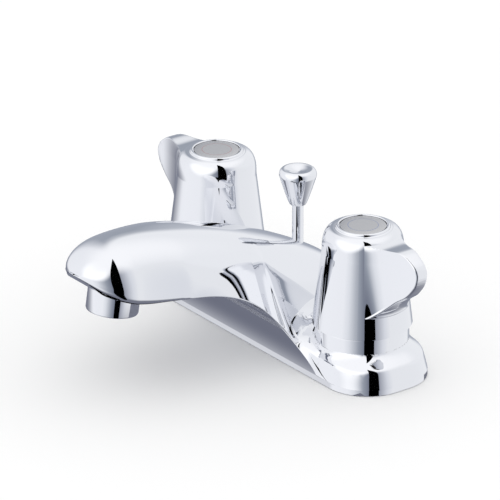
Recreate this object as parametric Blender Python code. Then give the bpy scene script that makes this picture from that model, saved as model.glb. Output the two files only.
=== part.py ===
"""Centerset bathroom faucet: one cast body with two quarter-turn valves, winged handles and a lift rod.

Metres, +Z up. The origin is on the deck's underside, midway between the two valve axes.
+X runs to the cold side, and the spout points along -Y.
"""

import math

import bmesh
import bpy
from mathutils import Matrix, Vector

MM = 0.001
GAP = 0.3 * MM
ROUND_STEPS = 24

# Deck
VALVE_CENTRES = 101.6 * MM
DECK_END = 27.6 * MM
DECK_HALF_LENGTH = VALVE_CENTRES / 2 + DECK_END
DECK_HALF_DEPTH = 23.1 * MM
DECK_END_FLAT = 3.6 * MM
DECK_CORNER = DECK_HALF_DEPTH - DECK_END_FLAT
FOOT_HEIGHT = 2.4 * MM
FOOT_LEDGE = 0.35 * MM
PILLOW_TOP = 14.4 * MM
PILLOW_ROLL = 8.4 * MM
CROWN_ROLL = 6.5 * MM
DECK_WALL = 3.2 * MM
RECESS_DEPTH = 7.5 * MM
RECESS_BOSS_INSET = 6.6 * MM
RECESS_BOSS_RADIUS = DECK_HALF_DEPTH - RECESS_BOSS_INSET

# Spout
SPOUT_TIP_Y = -109.5 * MM
SPOUT_TIP_Z = 52.6 * MM
SPOUT_TIP_RADIUS = 19.6 * MM
SPOUT_ROOT_HALF_WIDTH = 28.5 * MM
SPOUT_BACK_HALF_WIDTH = 25.5 * MM
SPOUT_ROOT_Y = -34.0 * MM
SWEEP_JOIN_Y = -63.0 * MM
SWEEP_JOIN_Z = 38.6 * MM
CROWN_PEAK_Y = -86.0 * MM
CROWN_PEAK_Z = 64.8 * MM
CROWN_BACK_Y = 14.0 * MM
CROWN_BACK_Z = 33.5 * MM
FRONT_FLARE = 22.0 * MM
FRONT_FLARE_LENGTH = 3.3 * MM
LIP_HEIGHT = 0.9 * MM
LIP_START = 3.0 * MM
WATERWAY_RADIUS = 5.0 * MM
CROSS_WATERWAY_RADIUS = 2.8 * MM
CROSS_WATERWAY_Z = 9.5 * MM
CASTING_WALL = 3.0 * MM
CORE_HEIGHT = 23.0 * MM

# Pedestals
COLLAR_RADIUS = 19.6 * MM
COLLAR_TOP = 21.3 * MM
FLARE_WIDTH = 1.7 * MM
FLARE_HEIGHT = 5.4 * MM
FLARE_DEPTH = 4.4 * MM
PEDESTAL_ROOT = 7.15 * MM
VALVE_BORE_RADIUS = 11.6 * MM
VALVE_SEAT_Z = 7.0 * MM
SHANK_SOCKET_RADIUS = 10.6 * MM
SHANK_SOCKET_TOP = 5.0 * MM
PORT_RADIUS = 4.0 * MM

# Handles
HANDLE_RIM_Z = 21.8 * MM
HANDLE_RIM_RADIUS = 20.9 * MM
HANDLE_SHOULDER_Z = 54.0 * MM
HANDLE_SHOULDER_RADIUS = 17.0 * MM
HANDLE_TOP_Z = 63.7 * MM
HANDLE_WALL = 2.2 * MM
BEZEL_RADIUS = 12.0 * MM
BEZEL_TOP = 65.0 * MM
BUTTON_RADIUS = 9.7 * MM
BUTTON_THICKNESS = 1.8 * MM
BUTTON_TOP = 64.7 * MM
HUB_RADIUS = 6.6 * MM
HUB_BOTTOM = 38.0 * MM
CAVITY_TOP = 55.0 * MM
STEM_TOP = 53.0 * MM
HEAD_RECESS_RADIUS = 4.6 * MM
HEAD_RECESS_Z = 58.0 * MM

# Valve cartridges
STEM_RADIUS = 4.0 * MM
SCREW_RADIUS = 2.0 * MM
SCREW_LENGTH = 12.0 * MM
SCREW_HEAD_RADIUS = 4.0 * MM
SCREW_HEAD_HEIGHT = 2.6 * MM
SEAL_THICKNESS = 3.0 * MM
SEAL_RADIUS = 8.4 * MM
DISC_RADIUS = 8.6 * MM
DISC_THICKNESS = 2.6 * MM
CARTRIDGE_RADIUS = 11.2 * MM
CARTRIDGE_ROOF = 2.6 * MM
CARTRIDGE_RING_SECTION = 0.5 * MM
DRIVER_THICKNESS = 2.0 * MM
NECK_RADIUS = 7.4 * MM
NECK_TOP = 33.0 * MM
NUT_RADIUS = 13.2 * MM
NUT_HEIGHT = 5.5 * MM
STEM_RING_Z = 27.0 * MM
STEM_RING_SECTION = 0.55 * MM

# Inlet shanks, nuts and gasket
SHANK_RADIUS = 10.3 * MM
SHANK_BORE = 6.2 * MM
SHANK_BOTTOM = -50.0 * MM
NUT_WASHER_RADIUS = 17.5 * MM
NUT_WASHER_THICKNESS = 1.6 * MM
SINK_THICKNESS = 20.0 * MM
LOCKNUT_RADIUS = 16.0 * MM
LOCKNUT_HEIGHT = 8.0 * MM
GASKET_THICKNESS = 2.2 * MM

# Aerator
AERATOR_Y = -91.0 * MM
AERATOR_BOTTOM_Z = 32.3 * MM
AERATOR_TILT = 9.0
AERATOR_RADIUS = 11.0 * MM
AERATOR_HEIGHT = 14.5 * MM
AERATOR_THREAD_RADIUS = 9.4 * MM
AERATOR_THREAD_LENGTH = 5.0 * MM
AERATOR_WASHER = 1.5 * MM
AERATOR_WALL = 1.4 * MM
SCREEN_HOLES = 8

# Lift rod
ROD_Y = 4.9 * MM
ROD_RADIUS = 2.38 * MM
ROD_BOTTOM = -80.0 * MM
BUSH_RADIUS = 4.4 * MM
BUSH_LENGTH = 10.0 * MM
KNOB_BOTTOM = 55.7 * MM
KNOB_TOP = 71.6 * MM
KNOB_RADIUS = 8.0 * MM
KNOB_FOOT_RADIUS = 3.7 * MM


def clear_scene():
    for obj in list(bpy.data.objects):
        bpy.data.objects.remove(obj, do_unlink=True)


def material(name, colour, metallic, roughness):
    made = bpy.data.materials.new(name)
    made.use_nodes = True
    shader = made.node_tree.nodes["Principled BSDF"]
    shader.inputs["Base Color"].default_value = (*colour, 1.0)
    shader.inputs["Metallic"].default_value = metallic
    shader.inputs["Roughness"].default_value = roughness
    made.diffuse_color = (*colour, 1.0)
    return made


def face_out(made):
    """Merges what coincides and turns every face outwards."""
    bmesh.ops.remove_doubles(made, verts=made.verts, dist=1e-6)
    bmesh.ops.recalc_face_normals(made, faces=made.faces)
    if made.calc_volume(signed=True) < 0.0:
        bmesh.ops.reverse_faces(made, faces=made.faces)


def add_object(name, mesh_builder, finish, parent=None):
    """Makes one object from a closed bmesh."""
    face_out(mesh_builder)
    mesh = bpy.data.meshes.new(name)
    mesh_builder.to_mesh(mesh)
    mesh_builder.free()
    mesh.materials.append(finish)
    mesh.shade_smooth()
    mesh.set_sharp_from_angle(angle=math.radians(35))
    obj = bpy.data.objects.new(name, mesh)
    bpy.context.collection.objects.link(obj)
    obj.parent = parent
    return obj


def turned(profile, steps=ROUND_STEPS):
    """A closed ring of faces: the outline of (radius, z) points spun about Z. Points at radius 0 close it."""
    made = bmesh.new()
    points = [made.verts.new((radius, 0.0, z)) for radius, z in profile]
    edges = [made.edges.new(pair) for pair in zip(points, points[1:])]
    if profile[0][0] > 0.0 or profile[-1][0] > 0.0:
        edges.append(made.edges.new((points[-1], points[0])))
    bmesh.ops.spin(
        made, geom=points + edges, cent=(0, 0, 0), axis=(0, 0, 1), angle=math.tau, steps=steps,
        use_merge=True,
    )
    bmesh.ops.remove_doubles(made, verts=made.verts, dist=1e-6)
    return made


def bridged(rings, closed):
    """Faces between each ring of points and the next. Closed joins the last ring to the first."""
    made = bmesh.new()
    loops = [[made.verts.new(point) for point in ring] for ring in rings]
    pairs = list(zip(loops, loops[1:]))
    if closed:
        pairs.append((loops[-1], loops[0]))
    for lower, upper in pairs:
        for i in range(len(lower)):
            j = (i + 1) % len(lower)
            made.faces.new((lower[i], lower[j], upper[j], upper[i]))
    if not closed:
        made.faces.new(list(reversed(loops[0])))
        made.faces.new(loops[-1])
    return made


def bezier(points, t):
    """A point of the cubic curve through the first and last of four points."""
    weights = ((1 - t) ** 3, 3 * t * (1 - t) ** 2, 3 * t * t * (1 - t), t**3)
    return tuple(sum(w * p[axis] for w, p in zip(weights, points)) for axis in range(len(points[0])))


def bezier_height(curves, y):
    """The height at this y of the first (y, z) curve whose span holds it."""
    for curve in curves:
        low, high = sorted((curve[0][0], curve[3][0]))
        if low - 1e-9 <= y <= high + 1e-9:
            rising = curve[3][0] > curve[0][0]
            start, end = 0.0, 1.0
            for _ in range(40):
                middle = (start + end) / 2
                if (bezier(curve, middle)[0] < y) == rising:
                    start = middle
                else:
                    end = middle
            return bezier(curve, start)[1]
    raise ValueError("the height is asked for outside the curves")


# The sweep of the front wall into the spout's underside, and the line of the crown.
SWEEP = (
    (
        (-DECK_HALF_DEPTH, FOOT_HEIGHT),
        (-DECK_HALF_DEPTH - 2.2 * MM, 22.0 * MM),
        (-DECK_HALF_DEPTH - 14.9 * MM, 36.4 * MM),
        (SWEEP_JOIN_Y, SWEEP_JOIN_Z),
    ),
    (
        (SWEEP_JOIN_Y, SWEEP_JOIN_Z),
        (SWEEP_JOIN_Y - 17.0 * MM, SWEEP_JOIN_Z + 1.6 * MM),
        (SPOUT_TIP_Y + 12.5 * MM, SPOUT_TIP_Z - 8.8 * MM),
        (SPOUT_TIP_Y, SPOUT_TIP_Z),
    ),
)
CROWN = (
    (
        (SPOUT_TIP_Y, SPOUT_TIP_Z),
        (SPOUT_TIP_Y + 2.0 * MM, SPOUT_TIP_Z + 7.4 * MM),
        (CROWN_PEAK_Y - 12.0 * MM, CROWN_PEAK_Z),
        (CROWN_PEAK_Y, CROWN_PEAK_Z),
    ),
    (
        (CROWN_PEAK_Y, CROWN_PEAK_Z),
        (CROWN_PEAK_Y + 26.0 * MM, CROWN_PEAK_Z + 0.4 * MM),
        (CROWN_BACK_Y - 32.0 * MM, CROWN_BACK_Z + 19.5 * MM),
        (CROWN_BACK_Y, CROWN_BACK_Z),
    ),
)
CROWN_BACK_SLOPE = -0.66


def crown_height(y):
    if y > CROWN_BACK_Y:
        return CROWN_BACK_Z + CROWN_BACK_SLOPE * (y - CROWN_BACK_Y)
    return bezier_height(CROWN, y)


def arch_half_width(y):
    """Half the width of the spout's arch, without the fillet into the deck."""
    centre_y = SPOUT_TIP_Y + SPOUT_TIP_RADIUS
    if y < centre_y:
        return math.sqrt(max(SPOUT_TIP_RADIUS**2 - (centre_y - y) ** 2, 0.0))
    if y < SPOUT_ROOT_Y:
        share = (y - centre_y) / (SPOUT_ROOT_Y - centre_y)
        return SPOUT_TIP_RADIUS + (SPOUT_ROOT_HALF_WIDTH - SPOUT_TIP_RADIUS) * share ** 1.25
    share = (y - SPOUT_ROOT_Y) / (DECK_HALF_DEPTH - SPOUT_ROOT_Y)
    return SPOUT_ROOT_HALF_WIDTH + (SPOUT_BACK_HALF_WIDTH - SPOUT_ROOT_HALF_WIDTH) * share


def fillet_width(y):
    """How far the concave fillet runs out from the arch's foot."""
    front = -DECK_HALF_DEPTH
    if y < front:
        return FRONT_FLARE * math.exp((y - front) / FRONT_FLARE_LENGTH)
    return 3.5 * MM + (FRONT_FLARE - 3.5 * MM) * math.exp((front - y) / (1.5 * FRONT_FLARE_LENGTH))


def deck_half_length(y):
    """Half the deck's length at this depth: a rectangle with round corners."""
    beyond = max(abs(y) - (DECK_HALF_DEPTH - DECK_CORNER), 0.0)
    return DECK_HALF_LENGTH - DECK_CORNER + math.sqrt(max(DECK_CORNER**2 - beyond**2, 0.0))


def inside_deck(x, y):
    """How far the point lies inside the deck's outline."""
    across = max(abs(x) - (DECK_HALF_LENGTH - DECK_CORNER), 0.0)
    along = max(abs(y) - (DECK_HALF_DEPTH - DECK_CORNER), 0.0)
    if across > 0.0 or along > 0.0:
        return DECK_CORNER - math.hypot(across, along)
    return DECK_CORNER


# The rise from the deck's foot to its top, as shares of the way in and of the height: a steep wall,
# a rounded brow, then a slope that runs up to the collars.
PILLOW = (
    ((0.0, 0.0), (0.07, 0.17), (0.13, 0.34), (0.2, 0.49)),
    ((0.2, 0.49), (0.265, 0.65), (0.36, 0.667), (0.52, 0.735)),
    ((0.52, 0.735), (0.68, 0.8), (0.84, 0.9), (1.0, 1.0)),
)


def pillow_height(x, y):
    """The deck's height, whose slope is squeezed where the outline comes close to a collar."""
    inset = max(inside_deck(x, y) - FOOT_LEDGE, 0.0)
    to_collar = max(math.hypot(abs(x) - VALVE_CENTRES / 2, y) - COLLAR_RADIUS, 0.0)
    width = max(min(inset + to_collar, PILLOW_ROLL), 1e-6)
    return FOOT_HEIGHT + (PILLOW_TOP - FOOT_HEIGHT) * bezier_height(PILLOW, min(inset / width, 1.0))


def arch_share(x, y):
    """1 on the crown and 0 past the fillet: half an ellipse whose foot runs out in a concave tail."""
    half, tail = max(arch_half_width(y), 1e-6), max(fillet_width(y), 1e-6)
    power = 1.7
    foot_squared = tail / (power * half + tail)
    x = abs(x)
    if x <= half:
        return math.sqrt((1 - foot_squared) * (1 - (x / half) ** 2) + foot_squared)
    return math.sqrt(foot_squared) * (max(half + tail - x, 0.0) / tail) ** power


def top_height(x, y):
    """The height of the body's upper surface over a point of its plan."""
    if y < -DECK_HALF_DEPTH:
        lip = LIP_HEIGHT * min((-DECK_HALF_DEPTH - y) / LIP_START, 1.0)
        base, crown = bezier_height(SWEEP, y) + lip, crown_height(y)
        crown = max(crown, base)
    else:
        base, crown = pillow_height(x, y), crown_height(y)
        roll = min(max((DECK_HALF_DEPTH - y) / CROWN_ROLL, 0.0), 1.0)
        crown = FOOT_HEIGHT + (crown - FOOT_HEIGHT) * math.sqrt(math.sin(roll * math.pi / 2))
    return base + max(crown - base, 0.0) * arch_share(x, y)


def body_stations():
    """(y, half width, height of the underside) for each section, from the spout's tip to the deck's back."""
    stations = []
    for k in range(1, 9):
        angle = k / 8 * math.pi / 2
        stations.append(SPOUT_TIP_Y + SPOUT_TIP_RADIUS * (1 - math.cos(angle)))
    centre, root = SPOUT_TIP_Y + SPOUT_TIP_RADIUS, -DECK_HALF_DEPTH - 12.9 * MM
    stations += [
        centre + (root - centre) * share for share in (0.147, 0.295, 0.443, 0.592, 0.722, 0.833, 0.926)
    ]
    stations += [-DECK_HALF_DEPTH - ahead * MM for ahead in (12.9, 9.9, 7.4, 5.4, 3.9, 2.7, 1.7, 0.9, 0.3)]
    rows = [(y, arch_half_width(y) + fillet_width(y), bezier_height(SWEEP, y)) for y in stations]
    insets = [inset * MM for inset in (0.0, 0.4, 1.1, 2.1, 3.6, 5.6, 8.1, 11.1, 15.1)]
    half = [DECK_HALF_DEPTH - inset for inset in insets] + [DECK_END_FLAT]
    ys = [-y for y in half] + [0.0] + half[::-1]
    return rows, [(y, deck_half_length(y)) for y in ys]


def column_shares(count):
    """Shares from -1 to 1 across a section, closer together towards its edges."""
    return [math.sin((2 * i / (count - 1) - 1) * math.pi / 2) for i in range(count)]


def body_shell():
    """The outer form of deck and spout as one closed mesh."""
    made = bmesh.new()
    spout_rows, deck_rows = body_stations()
    count = 29
    tops, bottoms = [], []
    for y, half, low in spout_rows:
        xs = [half * share for share in column_shares(count)]
        tops.append([made.verts.new((x, y, max(top_height(x, y), low + 0.3 * MM))) for x in xs])
        inner = max(half - 0.5 * LIP_HEIGHT, 0.5 * half)
        bottoms.append([made.verts.new((side * inner, y, low)) for side in (-1, 1)])
    for y, half in deck_rows:
        xs = [half * share for share in column_shares(count)]
        tops.append([made.verts.new((x, y, top_height(x, y))) for x in xs])
        bottoms.append([made.verts.new((side * half, y, 0.0)) for side in (-1, 1)])
    tip = made.verts.new((0.0, SPOUT_TIP_Y, SPOUT_TIP_Z))
    for i in range(count - 1):
        made.faces.new((tip, tops[0][i], tops[0][i + 1]))
    made.faces.new((tip, bottoms[0][1], bottoms[0][0]))
    made.faces.new((tip, tops[0][-1], bottoms[0][1]))
    made.faces.new((tip, bottoms[0][0], tops[0][0]))
    for j in range(len(tops) - 1):
        for i in range(count - 1):
            made.faces.new((tops[j][i], tops[j + 1][i], tops[j + 1][i + 1], tops[j][i + 1]))
        made.faces.new((bottoms[j][0], bottoms[j][1], bottoms[j + 1][1], bottoms[j + 1][0]))
        made.faces.new((tops[j][0], bottoms[j][0], bottoms[j + 1][0], tops[j + 1][0]))
        made.faces.new((tops[j][-1], tops[j + 1][-1], bottoms[j + 1][1], bottoms[j][1]))
    made.faces.new([bottoms[-1][0], bottoms[-1][1], *reversed(tops[-1])])
    bmesh.ops.recalc_face_normals(made, faces=made.faces)
    bmesh.ops.triangulate(made, faces=[face for face in made.faces if len(face.verts) > 3])
    return made


def helper(name, made, parent=None):
    """A cutter or an added form: kept in the file, left out of renders."""
    face_out(made)
    mesh = bpy.data.meshes.new(name)
    made.to_mesh(mesh)
    made.free()
    obj = bpy.data.objects.new(name, mesh)
    bpy.context.collection.objects.link(obj)
    obj.hide_render = True
    obj.display_type = "WIRE"
    obj.parent = parent
    return obj


def boolean(target, tool, operation, solver="EXACT"):
    modifier = target.modifiers.new(tool.name, "BOOLEAN")
    modifier.operation = operation
    modifier.object = tool
    modifier.solver = solver


def cast(target, tool, operation):
    """A step of the casting. The exact solver loses the lofted body here, and both meshes are closed."""
    boolean(target, tool, operation, "MANIFOLD")


def cylinder(radius, low, high, x=0.0, y=0.0, steps=ROUND_STEPS):
    made = turned([(0.0, low), (radius, low), (radius, high), (0.0, high)], steps)
    bmesh.ops.translate(made, verts=made.verts, vec=(x, y, 0.0))
    return made


def tube_along(points, radius, sides=16):
    """A closed round bar that follows the points."""
    rings = []
    for i, point in enumerate(points):
        before, after = Vector(points[max(i - 1, 0)]), Vector(points[min(i + 1, len(points) - 1)])
        turn = (after - before).to_track_quat("Z", "X")
        rings.append(
            [
                Vector(point) + turn @ Vector((radius * math.cos(a), radius * math.sin(a), 0.0))
                for a in (math.tau * k / sides for k in range(sides))
            ]
        )
    return bridged(rings, closed=False)


def valve_x(side):
    return side * VALVE_CENTRES / 2


def outlet_axis():
    """Where the aerator's lower face has its centre, and the way up its tilted axis."""
    tilt = math.radians(AERATOR_TILT)
    return Vector((0.0, AERATOR_Y, AERATOR_BOTTOM_Z)), Vector((0.0, math.sin(tilt), math.cos(tilt)))


def outlet_matrix():
    foot, _ = outlet_axis()
    return Matrix.Translation(foot) @ Matrix.Rotation(-math.radians(AERATOR_TILT), 4, "X")


def frustum(low_outline, high_outline, low, high):
    """A closed block between two level outlines with the same number of points."""
    rings = [[Vector((x, y, z)) for x, y in ring] for ring, z in ((low_outline, low), (high_outline, high))]
    return bridged(rings, closed=False)


def round_rectangle(half_x, half_y, radius, centre_y=0.0):
    """The corner arcs of a level rectangle with round corners, anticlockwise."""
    outline = []
    for corner, (sx, sy) in enumerate(((1, 1), (-1, 1), (-1, -1), (1, -1))):
        for k in range(9):
            angle = (corner + k / 8) * math.pi / 2
            x = sx * (half_x - radius) + radius * math.cos(angle)
            outline.append((x, centre_y + sy * (half_y - radius) + radius * math.sin(angle)))
    return outline


def cross_route():
    """The middle line of the waterway from one valve bore, round the rod, to the other."""
    reach = VALVE_CENTRES / 2 - 0.8 * VALVE_BORE_RADIUS
    y, z = -9.0 * MM, CROSS_WATERWAY_Z
    return [
        (-reach, -2 * MM, z), (-24 * MM, y, z), (-8 * MM, y, z), (8 * MM, y, z), (24 * MM, y, z),
        (reach, -2 * MM, z)
    ]


def spout_route():
    """The middle line of the waterway from the cross passage up through the spout to its outlet."""
    foot, up = outlet_axis()
    top = foot + up * (outlet_ceiling() + WATERWAY_RADIUS - 2 * MM)
    end = foot + up * (outlet_ceiling() - 1 * MM)
    route = [(0.0, -9 * MM, CROSS_WATERWAY_Z), (0.0, -13 * MM, 20 * MM)]
    start = -DECK_HALF_DEPTH - 2.9 * MM
    for share, height in ((0.0, 0.568), (0.246, 0.474), (0.523, 0.471), (0.769, 0.506)):
        y = start + (foot.y - start) * share
        low = bezier_height(SWEEP, y)
        route.append((0.0, y, low + (crown_height(y) - low) * height))
    return route + [(0.0, top.y + 5 * MM, top.z), tuple(end)]


def outlet_ceiling():
    """How far up its axis the aerator's socket goes: the thread, then the washer above it."""
    return AERATOR_HEIGHT + AERATOR_THREAD_LENGTH + AERATOR_WASHER + 2 * GAP


def body_hollow():
    """What the casting leaves open from below, round its bosses and the walls of its waterways."""
    deck_outline = round_rectangle(
        DECK_HALF_LENGTH - DECK_WALL, DECK_HALF_DEPTH - DECK_WALL, DECK_CORNER - DECK_WALL
    )
    roof = [(0.97 * x, 0.92 * y) for x, y in deck_outline]
    hollow = helper("deck_recess", frustum(deck_outline, roof, -1 * MM, RECESS_DEPTH))
    core_low = round_rectangle(SPOUT_BACK_HALF_WIDTH - 2 * CASTING_WALL, 17 * MM, 6 * MM)
    core_high = [(0.8 * x, 0.6 * y - 3 * MM) for x, y in core_low]
    cast(hollow, helper("arch_core", frustum(core_low, core_high, -1 * MM, CORE_HEIGHT)), "UNION")
    for side, name in ((-1, "hot"), (1, "cold")):
        boss = cylinder(RECESS_BOSS_RADIUS, -2 * MM, CORE_HEIGHT + 2 * MM, valve_x(side))
        cast(hollow, helper(f"{name}_boss", boss), "DIFFERENCE")
    rod_boss = cylinder(BUSH_RADIUS + CASTING_WALL, -2 * MM, CORE_HEIGHT + 2 * MM, 0.0, ROD_Y, 24)
    cast(hollow, helper("rod_boss", rod_boss), "DIFFERENCE")
    rib = tube_along(cross_route(), CROSS_WATERWAY_RADIUS + CASTING_WALL - 0.5 * MM, 12)
    cast(hollow, helper("cross_rib", rib), "DIFFERENCE")
    cast(
        hollow, helper("spout_rib", tube_along(spout_route(), WATERWAY_RADIUS + CASTING_WALL)), "DIFFERENCE"
    )
    return hollow


def pedestal_form(side):
    """The collar under a handle, with the flare that runs off it onto the deck."""
    reach = COLLAR_RADIUS + FLARE_WIDTH
    profile = [(0.0, PEDESTAL_ROOT), (reach + 0.3 * MM, PEDESTAL_ROOT)]
    for k in range(5):
        angle = k / 4 * math.pi / 2
        rise = FLARE_HEIGHT * (1 - math.cos(angle))
        profile.append((reach - FLARE_WIDTH * math.sin(angle), PILLOW_TOP - FLARE_DEPTH + rise))
    profile += [
        (COLLAR_RADIUS, COLLAR_TOP - 0.5 * MM), (COLLAR_RADIUS - 0.5 * MM, COLLAR_TOP), (0.0, COLLAR_TOP)
    ]
    return placed(turned(profile, 42), valve_x(side))


def faucet_body(chrome):
    """The casting: deck, spout and two valve pedestals, hollow below and drilled for water and valves."""
    body = add_object("faucet_body", body_shell(), chrome)
    sides = ((-1, "hot"), (1, "cold"))
    for side, name in sides:
        cast(body, helper(f"{name}_pedestal_form", pedestal_form(side)), "UNION")
    cast(body, body_hollow(), "DIFFERENCE")
    bore = [(0.0, -1 * MM), (SHANK_SOCKET_RADIUS, -1 * MM), (SHANK_SOCKET_RADIUS, SHANK_SOCKET_TOP)]
    bore += [(PORT_RADIUS, SHANK_SOCKET_TOP), (PORT_RADIUS, VALVE_SEAT_Z), (VALVE_BORE_RADIUS, VALVE_SEAT_Z)]
    bore += [(VALVE_BORE_RADIUS, COLLAR_TOP + 1 * MM), (0.0, COLLAR_TOP + 1 * MM)]
    for side, name in sides:
        cast(body, helper(f"{name}_valve_bore", placed(turned(bore), valve_x(side))), "DIFFERENCE")
    cast(body, helper("cross_waterway", tube_along(cross_route(), CROSS_WATERWAY_RADIUS, 12)), "DIFFERENCE")
    cast(body, helper("spout_waterway", tube_along(spout_route(), WATERWAY_RADIUS)), "DIFFERENCE")
    housing, thread = AERATOR_RADIUS + GAP, AERATOR_THREAD_RADIUS + GAP
    socket = [
        (0.0, -2 * MM), (housing, -2 * MM), (housing, AERATOR_HEIGHT + GAP), (thread, AERATOR_HEIGHT + GAP)
    ]
    socket += [(thread, outlet_ceiling()), (0.0, outlet_ceiling())]
    cutter = turned(socket)
    cutter.transform(outlet_matrix())
    cast(body, helper("outlet_socket", cutter), "DIFFERENCE")
    rod_hole = cylinder(BUSH_RADIUS + GAP, -2 * MM, KNOB_TOP, 0.0, ROD_Y, 32)
    cast(body, helper("rod_hole", rod_hole), "DIFFERENCE")
    return body


# The ear's outline seen from the side: how far it reaches from the handle's axis at each height.
EAR_OUTLINE = (
    (27.5 * MM, 14.0 * MM),
    (30.7 * MM, 17.0 * MM),
    (34.2 * MM, 20.6 * MM),
    (39.6 * MM, 26.2 * MM),
    (43.4 * MM, 31.4 * MM),
    (48.0 * MM, 35.2 * MM),
    (51.5 * MM, 36.6 * MM),
    (55.0 * MM, 36.8 * MM),
    (58.0 * MM, 35.4 * MM),
    (60.2 * MM, 32.8 * MM),
    (61.6 * MM, 29.4 * MM),
    (62.5 * MM, 24.0 * MM),
    (63.0 * MM, 16.0 * MM),
    (63.3 * MM, 8.0 * MM),
)

# The ear's two faces in plan, as curves from the round part out to the tip.
EAR_ROOT_RADIUS = 17.5 * MM
EAR_FRONT_ANGLE = -36.0
EAR_BACK_ANGLE = 48.0
EAR_FRONT = (
    (14.16 * MM, -10.29 * MM), (18.0 * MM, -5.0 * MM), (27.0 * MM, -2.2 * MM), (37.5 * MM, -0.9 * MM)
)
EAR_BACK = ((36.5 * MM, 5.2 * MM), (26.0 * MM, 3.6 * MM), (17.5 * MM, 6.4 * MM), (11.7 * MM, 13.0 * MM))
EAR_EDGE_BLEND = 1.6 * MM
EAR_ROOT_BLEND = 2.4 * MM


def cone_radius(z):
    """The handle's round part: a straight skirt, then a dome up to the bezel."""
    if z <= HANDLE_SHOULDER_Z:
        share = (z - HANDLE_RIM_Z) / (HANDLE_SHOULDER_Z - HANDLE_RIM_Z)
        return HANDLE_RIM_RADIUS + (HANDLE_SHOULDER_RADIUS - HANDLE_RIM_RADIUS) * share
    share = min((z - HANDLE_SHOULDER_Z) / (HANDLE_TOP_Z - HANDLE_SHOULDER_Z), 1.0)
    drop = 1 - math.sqrt(1 - share**2.2)
    return HANDLE_SHOULDER_RADIUS - (HANDLE_SHOULDER_RADIUS - BEZEL_RADIUS) * drop


def smooth_min(a, b, width):
    near = max(width - abs(a - b), 0.0) / width
    return min(a, b) - near * near * width / 4


def interpolated(table, x):
    """The value at x of a table of (x, value) pairs, held level past its ends."""
    for (x_low, low), (x_high, high) in zip(table, table[1:]):
        if x <= x_high:
            return low + (high - low) * max((x - x_low) / (x_high - x_low), 0.0)
    return table[-1][1]


def polar(curve, count=24):
    """A plan curve as (angle, radius) pairs about the axis, by rising angle."""
    points = [bezier(curve, k / count) for k in range(count + 1)]
    return sorted((math.atan2(y, x), math.hypot(x, y)) for x, y in points)


EAR_FACES = polar(EAR_FRONT) + polar(EAR_BACK)


def handle_radius(angle, z):
    """How far the handle's outside is from its axis in one direction and at one height."""
    cone = cone_radius(z)
    first, last = math.radians(EAR_FRONT_ANGLE), math.radians(EAR_BACK_ANGLE)
    if not first < angle < last:
        return cone
    share = angle / (first if angle < 0.0 else last)
    faces = interpolated(EAR_FACES, angle)
    faces += (cone_radius(min(z, HANDLE_SHOULDER_Z)) - EAR_ROOT_RADIUS) * share
    reach = interpolated(EAR_OUTLINE, z) / math.cos(angle)
    ear = smooth_min(faces, reach, EAR_EDGE_BLEND)
    return -smooth_min(-cone, -ear, EAR_ROOT_BLEND * (1 - share) + 1e-6)


def handle_angles():
    """The directions of one level outline's points, closer together over the ear."""
    ear = (-36, -30, -24, -18, -13, -9, -6, -4, -2.5, -1, 1, 4, 7, 9, 11, 14, 18, 24, 31, 39, 48)
    round_part = range(60, 324, 12)
    return [math.radians(a) for a in ear] + [math.radians(a - 360 if a > 180 else a) for a in round_part]


def handle_levels():
    levels = [HANDLE_RIM_Z] + [z for z, _ in EAR_OUTLINE]
    return levels + [HANDLE_TOP_Z]


def level_ring(radius, z, angles):
    return [Vector((radius * math.cos(a), radius * math.sin(a), z)) for a in angles]


def handle_form():
    """The outside of the cast handle as one closed form: skirt, dome, ear and bezel."""
    angles = handle_angles()
    rings = [[Vector((handle_radius(a, z) * math.cos(a), handle_radius(a, z) * math.sin(a), z)) for a in angles]
             for z in handle_levels()]
    rings.append(level_ring(BEZEL_RADIUS - 0.3 * MM, BEZEL_TOP - 0.3 * MM, angles))
    rings.append(level_ring(BEZEL_RADIUS - 1.0 * MM, BEZEL_TOP, angles))
    return bridged(rings, closed=False)


def handle_hollow():
    """What is open in the handle: the button's seat and screw hole above, the skirt's inside round the hub below."""
    seat = BUTTON_TOP - BUTTON_THICKNESS - GAP
    recess = BUTTON_RADIUS + GAP
    top = [
        (0.0, BEZEL_TOP + 1 * MM), (recess, BEZEL_TOP + 1 * MM), (recess, seat), (HEAD_RECESS_RADIUS, seat)
    ]
    top += [(HEAD_RECESS_RADIUS, HEAD_RECESS_Z), (SCREW_RADIUS + GAP, HEAD_RECESS_Z)]
    top += [
        (SCREW_RADIUS + GAP, STEM_TOP + GAP), (STEM_RADIUS + GAP, STEM_TOP + GAP),
        (STEM_RADIUS + GAP, HUB_BOTTOM)
    ]
    inner_top = cone_radius(CAVITY_TOP) - HANDLE_WALL
    skirt = [(HUB_RADIUS, HUB_BOTTOM), (HUB_RADIUS, CAVITY_TOP - 1 * MM), (HUB_RADIUS + 1 * MM, CAVITY_TOP)]
    skirt += [(inner_top - 2.5 * MM, CAVITY_TOP), (inner_top, CAVITY_TOP - 3 * MM)]
    mouth = HANDLE_RIM_RADIUS - HANDLE_WALL
    skirt += [(mouth, HANDLE_RIM_Z), (mouth, HANDLE_RIM_Z - 1 * MM), (0.0, HANDLE_RIM_Z - 1 * MM)]
    return turned(top + skirt)


def placed(made, x=0.0, y=0.0):
    bmesh.ops.translate(made, verts=made.verts, vec=(x, y, 0.0))
    return made


def ring_profile(inner, outer, low, high):
    return [(inner, low), (outer, low), (outer, high), (inner, high)]


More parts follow.
